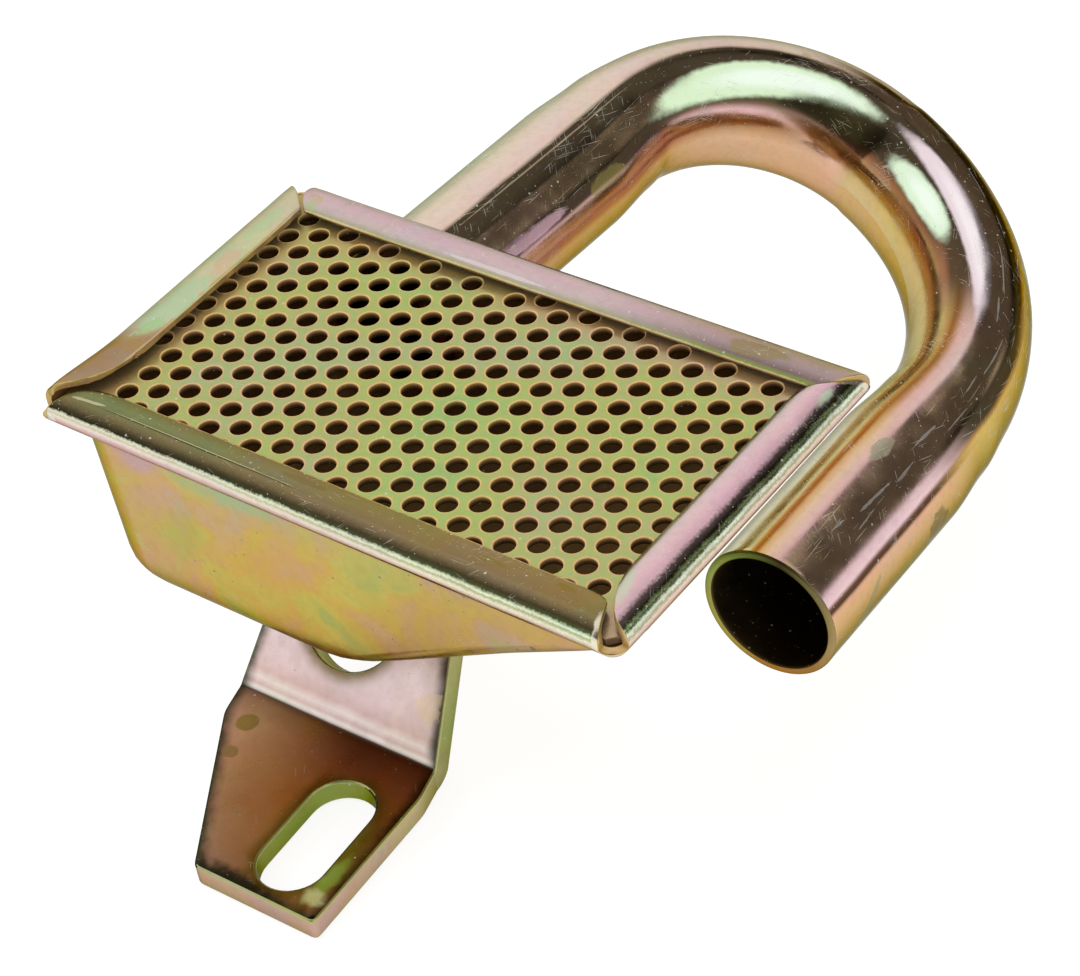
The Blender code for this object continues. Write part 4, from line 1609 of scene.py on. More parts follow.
    def _reach(self, spot: Vector, loop: Sequence[FlatPoint]) -> float:
        """Distance from a place on the flat plate to the nearest point of an outline."""
        nearest = 99.0
        for a, b in zip(loop, (*loop[1:], loop[0])):
            start, run = Vector(a), Vector(b) - Vector(a)
            share = min(1.0, max(0.0, (spot - start).dot(run) / max(run.length_squared, 1e-9)))
            nearest = min(nearest, (spot - start - run * share).length)
        return nearest

    def _slice(self, shape: BMesh, spine: list) -> None:
        """Cuts the flat plate across wherever it will bend, and here and there between."""
        along = [station[0] for station in spine[1:-1]] + [self.slice * i for i in range(1, 26)]
        cuts = [((0, s, 0), (0, 1, 0)) for s in along]
        cuts += [((self.left + self.slice * i, 0, 0), (1, 0, 0)) for i in range(1, 15)]
        for spot, across in cuts:
            cut_plane(shape, spot, across)

    def _bent(self, spot: Vector, spine: list) -> Vector:
        """Carries a point of the flat plate onto the bent one."""
        for (s0, y0, z0, lean0), (s1, y1, z1, lean1) in zip(spine, spine[1:]):
            if spot.y <= s1 + 1e-6 or s1 == spine[-1][0]:
                share = (spot.y - s0) / (s1 - s0)
                lean = lean0 + (lean1 - lean0) * min(1.0, max(0.0, share))
                y, z = y0 + (y1 - y0) * share, z0 + (z1 - z0) * share
                deep = -spot.z
                return Vector((spot.x, y + deep * sin(lean), z - deep * cos(lean)))
        return spot


# The joints


@dataclass
class TubeWeld:
    """The braze fillet round the tube where it enters the pan."""

    inner: float = 9.825
    leg: float = 1.4
    reach: float = 2.4
    sides: int = 112

    def build(self, frame: Matrix, wall: float, draft: float, finish: Material) -> Object:
        """Builds the fillet against the drafted wall.

        Args:
            frame: Matrix at the opening in the pan.
            wall: Y of the wall's outer face at the leg's height, with the clearance.
            draft: Lean of the wall in degrees.
            finish: The weld's material.

        Returns:
            The finished piece.
        """
        normal = Vector((0.0, cos(radians(draft)), -sin(radians(draft))))
        on_wall = Vector((frame.translation.x, wall, frame.translation.z))
        axis = frame.col[2].xyz

        def spot(a: float, radius: float, rise: float) -> Vector:
            """A point at an angle, a radius and a rise along the leg off the wall's face."""
            place = frame @ Vector((radius * cos(a), radius * sin(a), 0.0))
            slide = (on_wall - place).dot(normal) / axis.dot(normal)
            return place + axis * (slide + rise)

        skin = Skin()
        rows = []
        steps = 9
        for i in range(self.sides):
            a = 2 * pi * i / self.sides
            lump = 1 - 0.10 * (1 + wander(9 * cos(a), 9 * sin(a), 3.0, 2.6))
            row = []
            for k in range(steps):
                t = pi / 2 * k / (steps - 1)
                radius = self.inner + self.leg * lump * (1 - sin(t))
                row.append(spot(a, radius, self.reach * lump * (1 - cos(t))))
            row.append(spot(a, self.inner, 0.0))
            rows.append(row)
        loops = [skin.row(row) for row in rows]
        for i, low in enumerate(loops):
            high = loops[(i + 1) % len(loops)]
            here = [(i / self.sides, k / steps) for k in range(steps + 2)]
            there = [((i + 1) / self.sides, k / steps) for k in range(steps + 2)]
            skin.join(low, high, here, there)
        return skin.finish("pipe_braze", [finish], 50.0)


@dataclass
class BracketWeld:
    """One fillet bead between the tab's side and the pan's bottom."""

    name: str
    x: float
    side: int
    start: float
    end: float
    top: float
    leg: float = 2.0
    steps: int = 60
    arc: int = 10

    def build(self, finish: Material) -> Object:
        """Builds the bead with its ripples."""
        skin = Skin()
        rows = []
        for i in range(self.steps + 1):
            share = i / self.steps
            y = self.start + (self.end - self.start) * share
            taper = 0.6 + 0.4 * smooth(0.0, 0.14, min(share, 1 - share))
            ripple = 1 - 0.07 * (0.5 + 0.5 * cos(2 * pi * share * 9))
            ripple -= 0.03 * (1 + wander(y, 2.0, self.x, 1.8))
            reach = self.leg * taper * ripple
            row = [(self.x, y, self.top)]
            for k in range(self.arc):
                a = pi / 2 * k / (self.arc - 1)
                row.append((self.x + self.side * reach * cos(a), y, self.top - reach * sin(a)))
            rows.append(row)
        loops = [skin.row(row) for row in rows]
        for i in range(self.steps):
            here = [(i / self.steps, k / self.arc) for k in range(self.arc + 2)]
            there = [((i + 1) / self.steps, k / self.arc) for k in range(self.arc + 2)]
            skin.join(loops[i], loops[i + 1], here, there)
        skin.shape.faces.new(loops[0])
        skin.shape.faces.new(reversed(loops[-1]))
        return skin.finish(self.name, [finish], 50.0)


# Colours


class Wardrobe:
    """Every finish of the object, built once."""

    # A painted dark reflection for the tube's bands, and the plain mid colour that the dark cards darken by
    # real reflection.
    PAINTED_DARK_REFLECTION: Colour = (0.28, 0.24, 0.18)
    MID: Colour = (0.72, 0.61, 0.50)

    def __init__(self, effects: Effects) -> None:
        """Builds the materials from the shared effects."""
        self.effects = effects
        self.made = {plating.name: plating.build(effects) for plating in self.platings()}

    def __getitem__(self, name: str) -> Material:
        """The material of that name."""
        return self.made[name]

    def platings(self) -> list[Plating]:
        """The list of finishes."""
        return [self.tube(), *self.hems(), self.wall(), self.screen(), *self.bracket(), *self.plain()]

    def tube(self) -> Plating:
        """The tube's outside. Its stops go round it in degrees from the inner side of its bends; besides the
        plating's tint they hold painted dark reflection bands and pale painted highlight bands.
        """
        painted_dark, mid = self.PAINTED_DARK_REFLECTION, self.MID
        gold, pale = (0.77, 0.63, 0.38), (0.88, 0.84, 0.76)
        far_side = ((90, 82, 74, 50), (150, 84, 72, 54))
        back = ((0, gold), (40, 80, 68, 48), *far_side)
        rosy = ((0, 82, 64, 52), (40, 82, 66, 52), *far_side)
        leg = (
            *back, (205, 84, 80, 66), (213, 88, 93, 85), (228, 90, 88, 80), (234, 94, 88, 80),
            (250, 91, 82, 78), (262, 88, 78, 73), (265.5, painted_dark), (286, painted_dark), (289, mid), (303, mid),
            (308, painted_dark), (319, 26, 20, 16), (322, 74, 58, 58), (326, 87, 72, 70), (332, 86, 68, 65),
            (336, 62, 38, 28), (341, 64, 41, 26), (347, 78, 62, 38), (360, gold),
        )
        first = (
            *rosy, (236, pale), (248, 92, 86, 82), (259, 85, 75, 70), (263, painted_dark), (307, painted_dark),
            (315, 34, 32, 22), (318, 50, 38, 34), (323, 84, 69, 70), (329, 80, 60, 58), (334, 60, 37, 28),
            (341, 74, 55, 42), (350, 84, 66, 54), (360, 82, 64, 52),
        )
        oval = (
            *rosy, (238, pale), (244, 84, 72, 64), (248, painted_dark), (255, painted_dark), (258, mid), (267, mid),
            (270, painted_dark), (289, painted_dark), (300, 50, 46, 33), (316, 50, 46, 32), (320, 48, 34, 25),
            (325, 64, 46, 38), (331, 78, 60, 52), (341, 84, 67, 62), (352, 84, 67, 56), (360, 82, 64, 52),
        )
        turn = (
            *back, (228, 78, 68, 40), (236, 70, 54, 28), (240, painted_dark), (250, painted_dark), (254, mid), (270, mid),
            (274, painted_dark), (306, painted_dark), (316, 30, 25, 18), (320, 46, 31, 20), (327, 64, 44, 30),
            (333, 77, 62, 38), (346, 76, 66, 40), (360, 78, 70, 50),
        )
        second = (
            *back, (215, 74, 64, 36), (229, 77, 65, 35), (234, 60, 42, 22), (237, painted_dark), (248, painted_dark),
            (252, mid), (268, mid), (272, painted_dark), (295, 32, 26, 19), (307, 36, 28, 20), (312, 58, 38, 28),
            (318, 64, 45, 30), (324, 75, 60, 35), (335, 78, 68, 42), (350, 80, 72, 52), (360, 82, 76, 58),
        )
        kink = (
            *back, (205, 77, 67, 41), (225, 79, 66, 38), (229, 52, 37, 22), (232, painted_dark), (243, painted_dark),
            (248, mid), (271, mid), (275, 64, 52, 48), (280, 87, 74, 74), (290, 86, 68, 66),
            (296, 66, 44, 28), (299, 58, 35, 19), (304, 75, 56, 34), (311, 85, 76, 52), (325, 84, 77, 56),
            (345, 90, 86, 72), (360, gold),
        )
        mouth = (
            *back, (177, 73, 70, 47), (197, 81, 68, 46), (213, 84, 68, 51), (219, 85, 66, 54),
            (222, 34, 24, 18), (226, 38, 27, 22), (229, 90, 77, 79), (236, 91, 78, 80), (240, 76, 62, 62),
            (243, mid), (274, mid), (278, 76, 60, 58), (283, 87, 71, 68), (291, 88, 75, 62),
            (297, 84, 66, 42), (300.5, 58, 32, 8), (304, 72, 46, 18), (307, 87, 81, 57), (315, 89, 89, 70),
            (323, 93, 93, 86), (345, 95, 95, 92),
        )
        stations = ((45.0, leg), (62.0, first), (74.0, first), (88.0, oval), (93.5, turn), (108.0, turn))
        stations += ((121.0, second), (136.0, kink), (146.0, kink), (160.0, mouth))
        bands = [(mm / TUBE_MAP[0], stops(*table, scale=360.0)) for mm, table in stations]
        marks = (
            Mark(0.859, 0.537, 0.013, 0.045, (0.56, 0.48, 0.31), 0.8, 0.0, 0.3),
            Mark(0.865, 0.775, 0.013, 0.020, (0.56, 0.56, 0.46), 0.8, 0.0, 0.8),
            Mark(0.955, 0.535, 0.006, 0.055, (0.62, 0.62, 0.46), 0.6, 0.3, 0.3),
            # These six marks are painted highlights: pale patches where the tube would mirror bright light.
            Mark(0.378, 0.820, 0.122, 0.049, (0.86, 0.95, 0.80), 1.0, -0.27, 0.0, 0.22, 0.30),
            Mark(0.405, 0.812, 0.095, 0.034, (0.95, 1.00, 0.94), 0.95, -0.27, 0.0, 0.20, 0.70),
            Mark(0.611, 0.781, 0.108, 0.035, (0.92, 0.85, 0.87), 1.0, -0.10, 0.0, 0.15, 0.30),
            Mark(0.620, 0.780, 0.080, 0.024, (0.98, 0.94, 0.95), 0.9, -0.10, 0.0, 0.15, 0.70),
            Mark(0.571, 0.856, 0.056, 0.036, (0.88, 0.96, 0.84), 1.0, -0.22, 0.0, 0.25, 0.35),
            Mark(0.575, 0.852, 0.040, 0.024, (0.95, 1.00, 0.94), 0.9, -0.22, 0.0, 0.20, 0.70),
            Mark(0.105, 0.868, 0.050, 0.018, (0.72, 0.58, 0.62), 0.8, 0.15, 0.0, 0.4),
            Mark(0.20, 0.885, 0.020, 0.025, (0.52, 0.48, 0.26), 0.5),
            Mark(0.415, 0.715, 0.004, 0.010, (0.60, 0.56, 0.40), 0.5, 0.0, 0.5),
            Mark(0.165, 0.750, 0.105, 0.0022, (0.62, 0.54, 0.44), 0.8, 0.02, 0.6),
        )
        scuffs = (
            (0.655, 0.716, 0.030, 0.004, 0.10), (0.690, 0.728, 0.022, 0.005, -0.20),
            (0.735, 0.700, 0.030, 0.004, 0.20), (0.770, 0.716, 0.020, 0.004, -0.15),
            (0.800, 0.690, 0.024, 0.003, 0.10), (0.832, 0.722, 0.028, 0.006, 0.16),
            (0.870, 0.703, 0.018, 0.004, -0.10), (0.905, 0.716, 0.026, 0.006, 0.18),
            (0.925, 0.698, 0.018, 0.003, -0.20), (0.575, 0.700, 0.024, 0.003, 0.05),
            (0.610, 0.688, 0.016, 0.003, -0.10), (0.945, 0.735, 0.012, 0.004, 0.30),
        )
        for u, v, long, wide, turn in scuffs:
            marks += (Mark(u, v, long * 0.7, wide * 0.6, (0.62, 0.66, 0.68), 0.6, turn, 0.7, 1.8),)
        return Plating(
            "tube_plating", bands, clouds=0.12, cloud_scale=0.06, marks=marks, scratches=0.50,
            map_size=TUBE_MAP, specks=0.10, roughness=0.17, waver=0.010, bump=0.05,
        )

    def hems(self) -> list[Plating]:
        """The four folded sides, whose colours run from the lip over the fold to its foot. The bright lines
        at the lips and below the dark band are painted highlights, and the dark band across the near and
        right hems' fold is a painted dark reflection.
        """
        near = stops(
            (0, 92, 88, 76), (2, 52, 47, 30), (8, 50, 48, 33), (22, 47, 51, 36), (33, 44, 45, 31),
            (37, 48, 44, 31), (45, 42, 37, 26), (52, 27, 24, 16), (57, 17, 16, 11), (60.5, 92, 94, 86),
            (63, 76, 74, 62), (67, 90, 86, 84), (73, 84, 70, 72), (90, 80, 64, 66), (100, 62, 52, 42),
        )
        near_end = stops(
            (0, 92, 88, 76), (2, 58, 50, 33), (10, 56, 48, 31), (22, 54, 45, 28), (33, 52, 43, 27),
            (37, 52, 45, 31), (44, 44, 38, 27), (52, 26, 23, 15), (57, 30, 34, 21), (61, 92, 98, 86),
            (64, 62, 64, 48), (69, 90, 90, 82), (76, 82, 67, 62), (100, 62, 50, 40),
        )
        right = stops(
            (0, 94, 92, 86), (3, 80, 82, 70), (12, 88, 80, 80), (30, 88, 72, 76), (40, 84, 68, 74),
            (46, 34, 28, 28), (53, 22, 20, 14), (57, 66, 78, 54), (59, 34, 36, 26), (62, 92, 98, 88),
            (67, 62, 60, 48), (71, 90, 82, 78), (80, 82, 65, 62), (92, 74, 58, 52), (100, 62, 50, 38),
        )
        far = stops(
            (0, 90, 86, 70), (3, 66, 66, 52), (10, 78, 72, 72), (26, 84, 72, 76), (42, 88, 78, 80),
            (55, 93, 88, 86), (66, 84, 74, 64), (100, 76, 64, 44),
        )
        far_right = stops(
            (0, 92, 94, 70), (3, 50, 58, 28), (9, 48, 40, 42), (20, 64, 54, 58), (34, 70, 60, 58),
            (46, 78, 70, 58), (53, 92, 84, 74), (66, 84, 74, 64), (100, 74, 62, 44),
        )
        left = stops(
            (0, 94, 92, 86), (2, 66, 60, 42), (5, 80, 80, 66), (14, 80, 80, 68), (30, 82, 82, 70),
            (44, 83, 85, 74), (56, 92, 93, 90), (100, 74, 64, 42),
        )
        left_end = stops(
            (0, 84, 80, 64), (4, 60, 50, 34), (30, 60, 50, 34), (50, 64, 54, 38), (100, 60, 47, 30),
        )
        return [
            Plating(
                "near_hem_plating", ((0.1, near), (0.85, near_end)), clouds=0.12, cloud_scale=0.09,
                specks=0.16, waver=0.04, map_size=(89.0, 14.0), bump=0.08, grit=0.06,
                marks=(
                    # The two marks at the hem's ends are painted highlights at the corners.
                    Mark(1.0, 0.75, 0.012, 0.5, (0.90, 0.87, 0.78), 0.9),
                    Mark(0.0, 0.8, 0.02, 0.15, (0.90, 0.90, 0.86), 0.8),
                    Mark(0.93, 0.14, 0.02, 0.05, (0.56, 0.46, 0.18), 0.6),
                    Mark(0.80, 0.20, 0.03, 0.05, (0.52, 0.44, 0.18), 0.5),
                    Mark(0.45, 0.16, 0.05, 0.06, (0.52, 0.43, 0.26), 0.5),
                    # A painted shade line along the crease, with a painted highlight line just above it.
                    Mark(0.26, 0.325, 0.21, 0.007, (0.10, 0.09, 0.06), 0.9, 0.0, 0.3, 0.6),
                    Mark(0.26, 0.307, 0.21, 0.006, (0.74, 0.72, 0.56), 0.9, 0.0, 0.3, 0.8),
                    # A painted highlight near the left corner.
                    Mark(0.045, 0.30, 0.020, 0.05, (0.80, 0.76, 0.62), 0.8, 0.6, 0.0, 1.0),
                ),
            ),
            Plating(
                "right_hem_plating", ((0.0, right),), clouds=0.08, cloud_scale=0.09, specks=0.22,
                scratches=0.46, waver=0.05, map_size=(53.0, 14.0), bump=0.08, grit=0.075,
                marks=(
                    Mark(0.93, 0.42, 0.05, 0.09, (0.78, 0.86, 0.74), 0.8, 0.5, 0.0, 1.2, 0.6),
                    Mark(0.05, 0.20, 0.06, 0.14, (0.78, 0.82, 0.70), 0.7, 0.0, 0.0, 1.0, 0.6),
                    # A painted highlight at the far-right corner.
                    Mark(1.0, 0.75, 0.02, 0.5, (0.88, 0.85, 0.78), 0.8),
                ),
            ),
            Plating(
                "far_hem_plating", ((0.12, far_right), (0.46, far)), clouds=0.10, cloud_scale=0.08,
                specks=0.2, waver=0.04, map_size=(89.0, 14.0), scratches=0.46, bump=0.06, grit=0.03,
                marks=(
                    Mark(0.972, 0.22, 0.016, 0.10, (0.78, 0.70, 0.56), 0.6),
                    Mark(0.982, 0.10, 0.014, 0.06, (0.66, 0.76, 0.52), 0.6),
                    Mark(0.60, 0.10, 0.10, 0.03, (0.92, 0.86, 0.88), 0.5),
                    Mark(0.14, 0.24, 0.05, 0.14, (0.58, 0.52, 0.30), 0.6),
                ),
            ),
            Plating(
                "left_hem_plating", ((0.66, left), (0.80, left_end)), clouds=0.26, cloud_scale=0.10,
                specks=0.08, scratches=0.30, waver=0.06, map_size=(53.0, 14.0), bump=0.06, grit=0.02,
                marks=(
                    Mark(0.58, 0.20, 0.17, 0.24, (0.70, 0.80, 0.64), 0.75, 0.0, 0.0, 1.6),
                    Mark(0.70, 0.16, 0.06, 0.12, (0.66, 0.78, 0.56), 0.7, 0.0, 0.0, 1.4),
                    Mark(0.34, 0.16, 0.06, 0.12, (0.84, 0.70, 0.58), 0.6, 0.0, 0.0, 1.6),
                    Mark(0.16, 0.22, 0.09, 0.10, (0.70, 0.80, 0.60), 0.6, 0.0, 0.0, 1.6),
                ),
            ),
        ]

    def wall(self) -> Plating:
        """The pan's walls and bottom: the map's U runs round the four sides and its V down."""
        near_left = stops(
            (8, 78, 64, 59), (20, 77, 66, 53), (45, 72, 68, 46), (66, 76, 60, 55), (86, 68, 62, 48),
            (100, 56, 46, 24),
        )
        near_mid = stops(
            (8, 74, 62, 52), (16, 67, 71, 50), (28, 77, 69, 40), (50, 78, 70, 37), (72, 76, 61, 35),
            (88, 68, 55, 27), (100, 56, 45, 18),
        )
        rest = stops(
            (8, 74, 63, 42), (40, 76, 66, 36), (80, 72, 58, 30), (100, 60, 48, 20),
        )
        return Plating(
            "pan_plating", ((0.02, near_left), (0.09, near_mid), (0.26, rest)), clouds=0.52,
            cloud_scale=0.075, scratches=0.34, specks=0.02, roughness=0.30, waver=0.20, bump=0.05,
            dark_specks=0.08,
            marks=(
                Mark(0.070, 0.14, 0.035, 0.07, (0.62, 0.72, 0.56), 0.75, 0.0, 0.0, 1.2, 0.8),
                Mark(0.018, 0.12, 0.016, 0.12, (0.74, 0.64, 0.68), 0.7, 0.0, 0.0, 1.2, 0.8),
                Mark(0.115, 0.45, 0.045, 0.20, (0.80, 0.62, 0.40), 0.5, 0.0, 0.0, 1.2, 0.8),
                Mark(0.045, 0.50, 0.020, 0.25, (0.66, 0.68, 0.40), 0.4, 0.0, 0.0, 1.2, 0.8),
            ),
        )

    def screen(self) -> Plating:
        """The screen: green, turning gold and pink here and there."""
        # Towards each hole the stops paint a highlight on the rolled edge and shade that deepens to near
        # black down the hole's wall.
        rim = (
            (66, 84, 70, 46), (72, 92, 80, 56), (79, 86, 71, 46), (83, 64, 48, 29), (90, 40, 29, 17),
            (100, 14, 10, 6),
        )
        edge = stops((0, 68, 58, 42), (40, 68, 58, 42), (58, 74, 60, 42), *rim)
        green = stops((0, 59, 71, 43), (36, 59, 71, 43), (58, 71, 67, 42), *rim)
        return Plating(
            "screen_plating", ((0.28, edge), (0.58, green)), clouds=0.26, cloud_scale=0.055, scratches=0.22,
            specks=0.03, roughness=0.28, bump=0.04, waver=0.03, metal=0.72, matt_above=0.66,
        )

    def bracket(self) -> list[Plating]:
        """The bracket's faces, its side edges and the slot's wall: V runs up from the foot's end."""
        # Across the bend into the riser the stops paint a black shade line and a white highlight line, and
        # faces and warm darken towards the bend as painted shade.
        riser = (
            (40.2, 10, 8, 6), (40.8, 98, 95, 92), (41.8, 86, 76, 74), (43, 96, 90, 88), (44.5, 88, 76, 74),
            (47, 92, 82, 82), (60, 95, 88, 88), (80, 78, 68, 60), (100, 72, 62, 42),
        )
        faces = stops(
            (0, 62, 48, 42), (10, 67, 51, 43), (25, 70, 51, 39), (34, 66, 49, 39), (38.5, 56, 41, 31),
            (39.8, 47, 33, 25), *riser,
        )
        warm = stops(
            (0, 58, 44, 28), (12, 67, 48, 31), (25, 69, 46, 30), (33, 62, 38, 29), (38.5, 49, 30, 23),
            (39.8, 38, 23, 17), *riser,
        )
        sides = stops(
            (0, 74, 62, 56), (12, 74, 64, 56), (30, 72, 67, 54), (38, 62, 62, 44), (42, 50, 56, 34),
            (60, 60, 62, 44), (100, 70, 62, 42),
        )
        slot = stops((0, 47, 53, 24), (100, 47, 53, 24))
        shade = stops((0, 20, 22, 14), (40, 24, 24, 18), (42, 40, 46, 32), (100, 40, 46, 32))
        glint = stops((0, 66, 70, 48), (100, 58, 64, 42))
        marks = (
            Mark(0.150, 0.330, 0.046, 0.024, (0.50, 0.41, 0.19), 0.85, 0.0, 0.0, 0.3),
            Mark(0.190, 0.255, 0.036, 0.016, (0.50, 0.42, 0.24), 0.7, 0.0, 0.0, 0.3),
            # Painted shade: a dark band along the foot's end.
            Mark(0.62, 0.004, 0.30, 0.040, (0.12, 0.12, 0.08), 0.9, 0.0, 0.0, 0.9, 0.8),
            Mark(0.88, 0.14, 0.09, 0.14, (0.52, 0.56, 0.22), 0.7, 0.0, 0.0, 0.6, 0.8),
            # Painted highlight: a near-white patch with a green fringe near the foot's end.
            Mark(0.905, 0.10, 0.04, 0.07, (0.66, 0.84, 0.46), 0.9, 0.0, 0.0, 0.6, 0.7),
            Mark(0.905, 0.047, 0.055, 0.024, (0.92, 1.00, 0.88), 1.0, 0.0, 0.0, 0.8, 0.7),
            # Painted shade at the foot's end corner.
            Mark(0.965, 0.008, 0.018, 0.008, (0.12, 0.10, 0.06), 0.95),
            Mark(0.80, 0.50, 0.06, 0.03, (0.92, 0.82, 0.62), 0.4, 0.0, 0.0, 1.6),
        )
        quiet = {"roughness": 0.3, "scratches": 0.1, "specks": 0.03}
        busy = {"roughness": 0.3, "scratches": 0.2, "specks": 0.1}
        return [
            Plating(
                "bracket_plating", ((0.30, faces), (0.62, warm)), clouds=0.12, cloud_scale=0.07, marks=marks,
                scratches=0.20, specks=0.04, roughness=0.30, bump=0.05, waver=0.006,
                # The second rim is painted shade along the plate's outer edges.
                rims=((1, 2.6, (0.47, 0.40, 0.18), 0.85), (0, 2.2, (0.13, 0.16, 0.10), 0.9)),
            ),
            Plating("bracket_edge_plating", ((0.0, sides),), clouds=0.2, cloud_scale=0.1, **quiet),
            Plating("slot_plating", ((0.0, slot),), clouds=0.1, **quiet),
            # The left rounded edges carry painted shade and the right ones a painted highlight.
            Plating("bracket_left_rounding", ((0.0, shade),), clouds=0.1, **busy),
            Plating("bracket_right_rounding", ((0.0, glint),), clouds=0.2, **busy),
        ]

    def plain(self) -> list[Plating]:
        """Finishes that are one colour but for their clouds and marks."""

        clean = {"scratches": 0.1, "specks": 0.02}

        def one(name: str, colour: Colour, **more: Any) -> Plating:
            """A finish of one colour."""
            return Plating(name, ((0.0, ((0.0, colour), (1.0, colour))),), **more)

        # Round the mouth's edge the near-black stretch of the ring is a painted dark reflection.
        ring = stops(
            (0, 52, 60, 30), (17, 60, 56, 26), (31, 62, 42, 16), (42, 60, 44, 20), (53, 62, 54, 34),
            (66, 46, 42, 26), (77, 24, 22, 14), (88, 38, 44, 22), (100, 52, 60, 30),
        )
        return [
            one("pan_inside_plating", (0.56, 0.43, 0.25), metal=0.5, roughness=0.5, clouds=0.06, **clean),
            one(
                "cut_edge_plating", (0.80, 0.68, 0.44), metal=0.35, roughness=0.32, clouds=0.2,
                cloud_scale=0.3, specks=0.05,
            ),
            Plating("mouth_edge_plating", ((0.0, ring),), roughness=0.3, clouds=0.1, **clean),
            one("bore_plating", (0.30, 0.24, 0.14), clouds=0.05, roughness=0.5, scratches=0.2),
            one("weld_plating", (0.70, 0.60, 0.42), roughness=0.4, clouds=0.35, cloud_scale=0.2, bump=0.3),
        ]


# The studio


@dataclass(frozen=True)
class Flag:
    """A dark card far from the object that the metal mirrors."""

    name: str
    azimuth: tuple[float, float]
    elevation: tuple[float, float]
    shade: float = 0.13


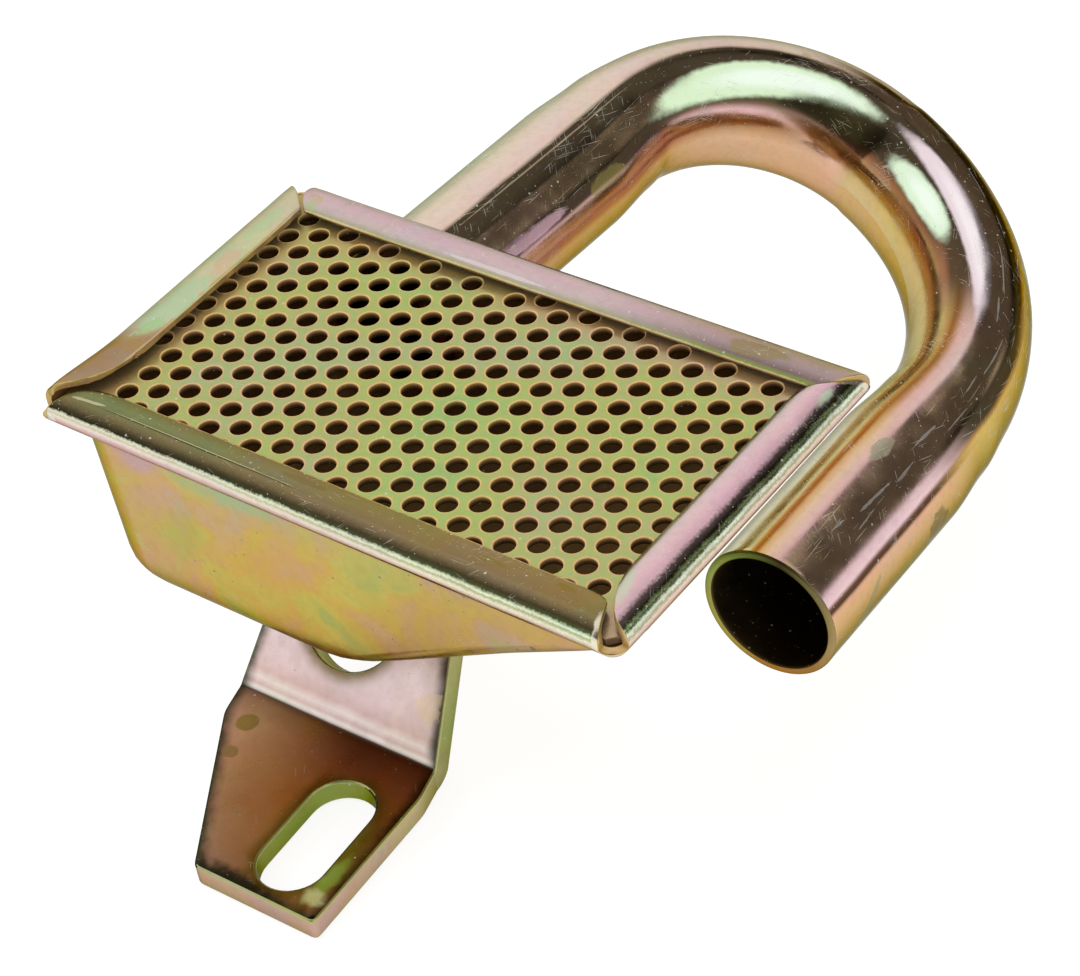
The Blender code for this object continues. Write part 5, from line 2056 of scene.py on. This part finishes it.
@dataclass
class Studio:
    """The floor, the white surroundings, the lamps, the dark cards and the camera."""

    camera_at: tuple[float, float, float] = (0.24289, -0.20180, 0.31230)
    camera_right: tuple[float, float, float] = (0.80195, 0.58297, -0.1307)
    camera_up: tuple[float, float, float] = (-0.30525, 0.58783, 0.7492)
    camera_back: tuple[float, float, float] = (0.51355, -0.56091, 0.6494)
    lens: float = 114.37
    middle: tuple[float, float, float] = (0.03, 0.03, 0.04)
    card_distance: float = 1.6
    card_steps: int = 8
    sky_light: float = 0.6
    flags: Sequence[Flag] = (
        Flag("camera_side_card", (-116.0, -44.0), (19.0, 88.0)),
        Flag("back_card", (60.0, 98.0), (-8.0, 48.0)),
        Flag("back_right_card", (32.0, 60.0), (10.0, 45.0)),
    )

    def seen(self, w: Wiring) -> Socket:
        """1 for what is seen, mirrored or looked at through glass, and 0 for the light that falls."""
        path = w.node("ShaderNodeLightPath").outputs
        return w.most(w.most(path["Is Camera Ray"], path["Is Glossy Ray"]), path["Is Transmission Ray"])

    def surroundings(self) -> None:
        """White surroundings."""
        world = bpy.data.worlds.new("studio")
        world.use_nodes = True
        bpy.context.scene.world = world
        sky = world.node_tree.nodes["Background"]
        sky.inputs["Color"].default_value = (1.0, 1.0, 1.0, 1.0)
        w = Wiring(world.node_tree)
        w.feed(sky.inputs["Strength"], w.plus(w.times(self.seen(w), 1.0 - self.sky_light), self.sky_light))

    def floor(self) -> None:
        """A plain pale floor that keeps the object's shadow."""
        shape = bmesh.new()
        bmesh.ops.create_grid(shape, x_segments=4, y_segments=4, size=3.0)
        bmesh.ops.translate(shape, vec=(0, 0, -0.0006), verts=shape.verts)
        finish, w = blank_material("pale_floor")
        matt = w.node("ShaderNodeBsdfDiffuse", {0: (0.30, 0.30, 0.30, 1.0)})
        glow = w.node("ShaderNodeEmission", {0: (1, 1, 1, 1), 1: w.times(self.seen(w), 0.84)})
        both = w.node("ShaderNodeAddShader", {0: matt.outputs[0], 1: glow.outputs[0]})
        w.feed(w.node("ShaderNodeOutputMaterial").inputs[0], both.outputs[0])
        dress_mesh("floor", to_mesh(shape, "floor"), [finish], 60.0)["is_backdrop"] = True

    def cards(self) -> None:
        """The dark cards, which only mirrors see."""
        steps = self.card_steps
        for flag in self.flags:
            shape = bmesh.new()
            rows = []
            (az0, az1), (el0, el1) = flag.azimuth, flag.elevation
            for i in range(steps + 1):
                el = radians(el0 + (el1 - el0) * i / steps)
                row = []
                for k in range(steps + 1):
                    az = radians(az0 + (az1 - az0) * k / steps)
                    way = Vector((cos(el) * cos(az), cos(el) * sin(az), sin(el)))
                    row.append(shape.verts.new(Vector(self.middle) + way * self.card_distance))
                rows.append(row)
            for low, high in zip(rows, rows[1:]):
                for k in range(steps):
                    shape.faces.new((low[k], low[k + 1], high[k + 1], high[k]))
            finish, w = blank_material(flag.name)
            glow = w.node("ShaderNodeEmission", {0: (1.0, 0.94, 0.86, 1), 1: flag.shade})
            w.feed(w.node("ShaderNodeOutputMaterial").inputs[0], glow.outputs[0])
            card = dress_mesh(flag.name, to_mesh(shape, flag.name), [finish], 60.0)
            card.visible_camera = card.visible_diffuse = False
            card.visible_shadow = card.visible_transmission = False
            card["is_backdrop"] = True

    def lamps(self) -> None:
        """Soft lamps from above, which throw the floor's faint shadow."""
        for name, spot, size, power in (
            ("top_lamp", (-0.3, 0.5, 1.3), 1.0, 9.0),
            ("side_lamp", (-1.0, -0.5, 0.9), 0.8, 4.0),
            ("front_lamp", (1.1, -0.7, 0.7), 0.8, 4.0),
        ):
            lamp = bpy.data.lights.new(name, "AREA")
            lamp.size = size
            lamp.energy = power
            made = link(name, lamp)
            made.location = spot
            made.rotation_euler = (Vector(spot) - Vector(self.middle)).to_track_quat("Z", "Y").to_euler()
            made.visible_glossy = False

    def camera(self) -> None:
        """The camera at the photograph's angle."""
        lens = bpy.data.cameras.new("camera")
        lens.lens = self.lens
        lens.sensor_width = 36.0
        lens.clip_start = 0.01
        lens.clip_end = 20.0
        made = link("camera", lens)
        turn = Matrix((self.camera_right, self.camera_up, self.camera_back)).transposed()
        made.matrix_world = Matrix.Translation(self.camera_at) @ turn.to_4x4()
        bpy.context.scene.camera = made

    def build(self) -> None:
        """Sets up the whole studio."""
        self.surroundings()
        self.floor()
        self.cards()
        self.lamps()
        self.camera()
        bpy.context.scene.view_settings.view_transform = "Standard"


# Everything in order


def main() -> list[list[float]]:
    """Builds every piece in order.

    Returns:
        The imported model's own box, as two corners.
    """
    logging.basicConfig(level=logging.INFO, format="%(name)s: %(message)s")
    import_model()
    packed = [list(corner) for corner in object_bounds()]
    Studio().build()
    finishes = Wardrobe(Effects())
    rim = Rim()
    tube = Tube()
    leg = tube.leg_frame(rim, Pan.inset, Pan.draft)
    pan = Pan(rim, leg)
    hems = [finishes[f"{side}_hem_plating"] for side in ("near", "right", "far", "left")]
    inside, cut_edge = finishes["pan_inside_plating"], finishes["cut_edge_plating"]
    settle(pan.build([finishes["pan_plating"], *hems, inside, cut_edge]), "pan", "pan")
    settle(Screen(rim).build(finishes["screen_plating"]), "screen", "screen")
    coats = [finishes["tube_plating"], finishes["mouth_edge_plating"], finishes["bore_plating"]]
    settle(tube.build(leg, coats), "tube", "tube")
    bracket = Bracket()
    coats = [finishes[f"bracket_{name}"] for name in ("plating", "edge_plating")]
    coats += [finishes["slot_plating"]]
    coats += [finishes[f"bracket_{side}_rounding"] for side in ("left", "right")]
    settle(bracket.build(coats), "bracket", "bracket")
    weld = finishes["weld_plating"]
    wall = rim.width / 2 - pan.inset - pan.lean(-tube.leg_depth) + rim.gap
    settle(TubeWeld().build(leg, wall, pan.draft, weld), "weld", "tube_weld")
    start, end = bracket.riser_top_y + 2.5, bracket.riser_top_y + bracket.tab_length - 2.0
    for name, x, side in (("left", bracket.left, -1), ("right", bracket.left + bracket.tab_width, 1)):
        bead = BracketWeld(f"bracket_bead_{name}", x + side * rim.gap, side, start, end, bracket.tab_top)
        settle(bead.build(weld), "weld", f"bracket_weld_{name}")
    return packed


if __name__ == "__main__":
    packed_box = main()
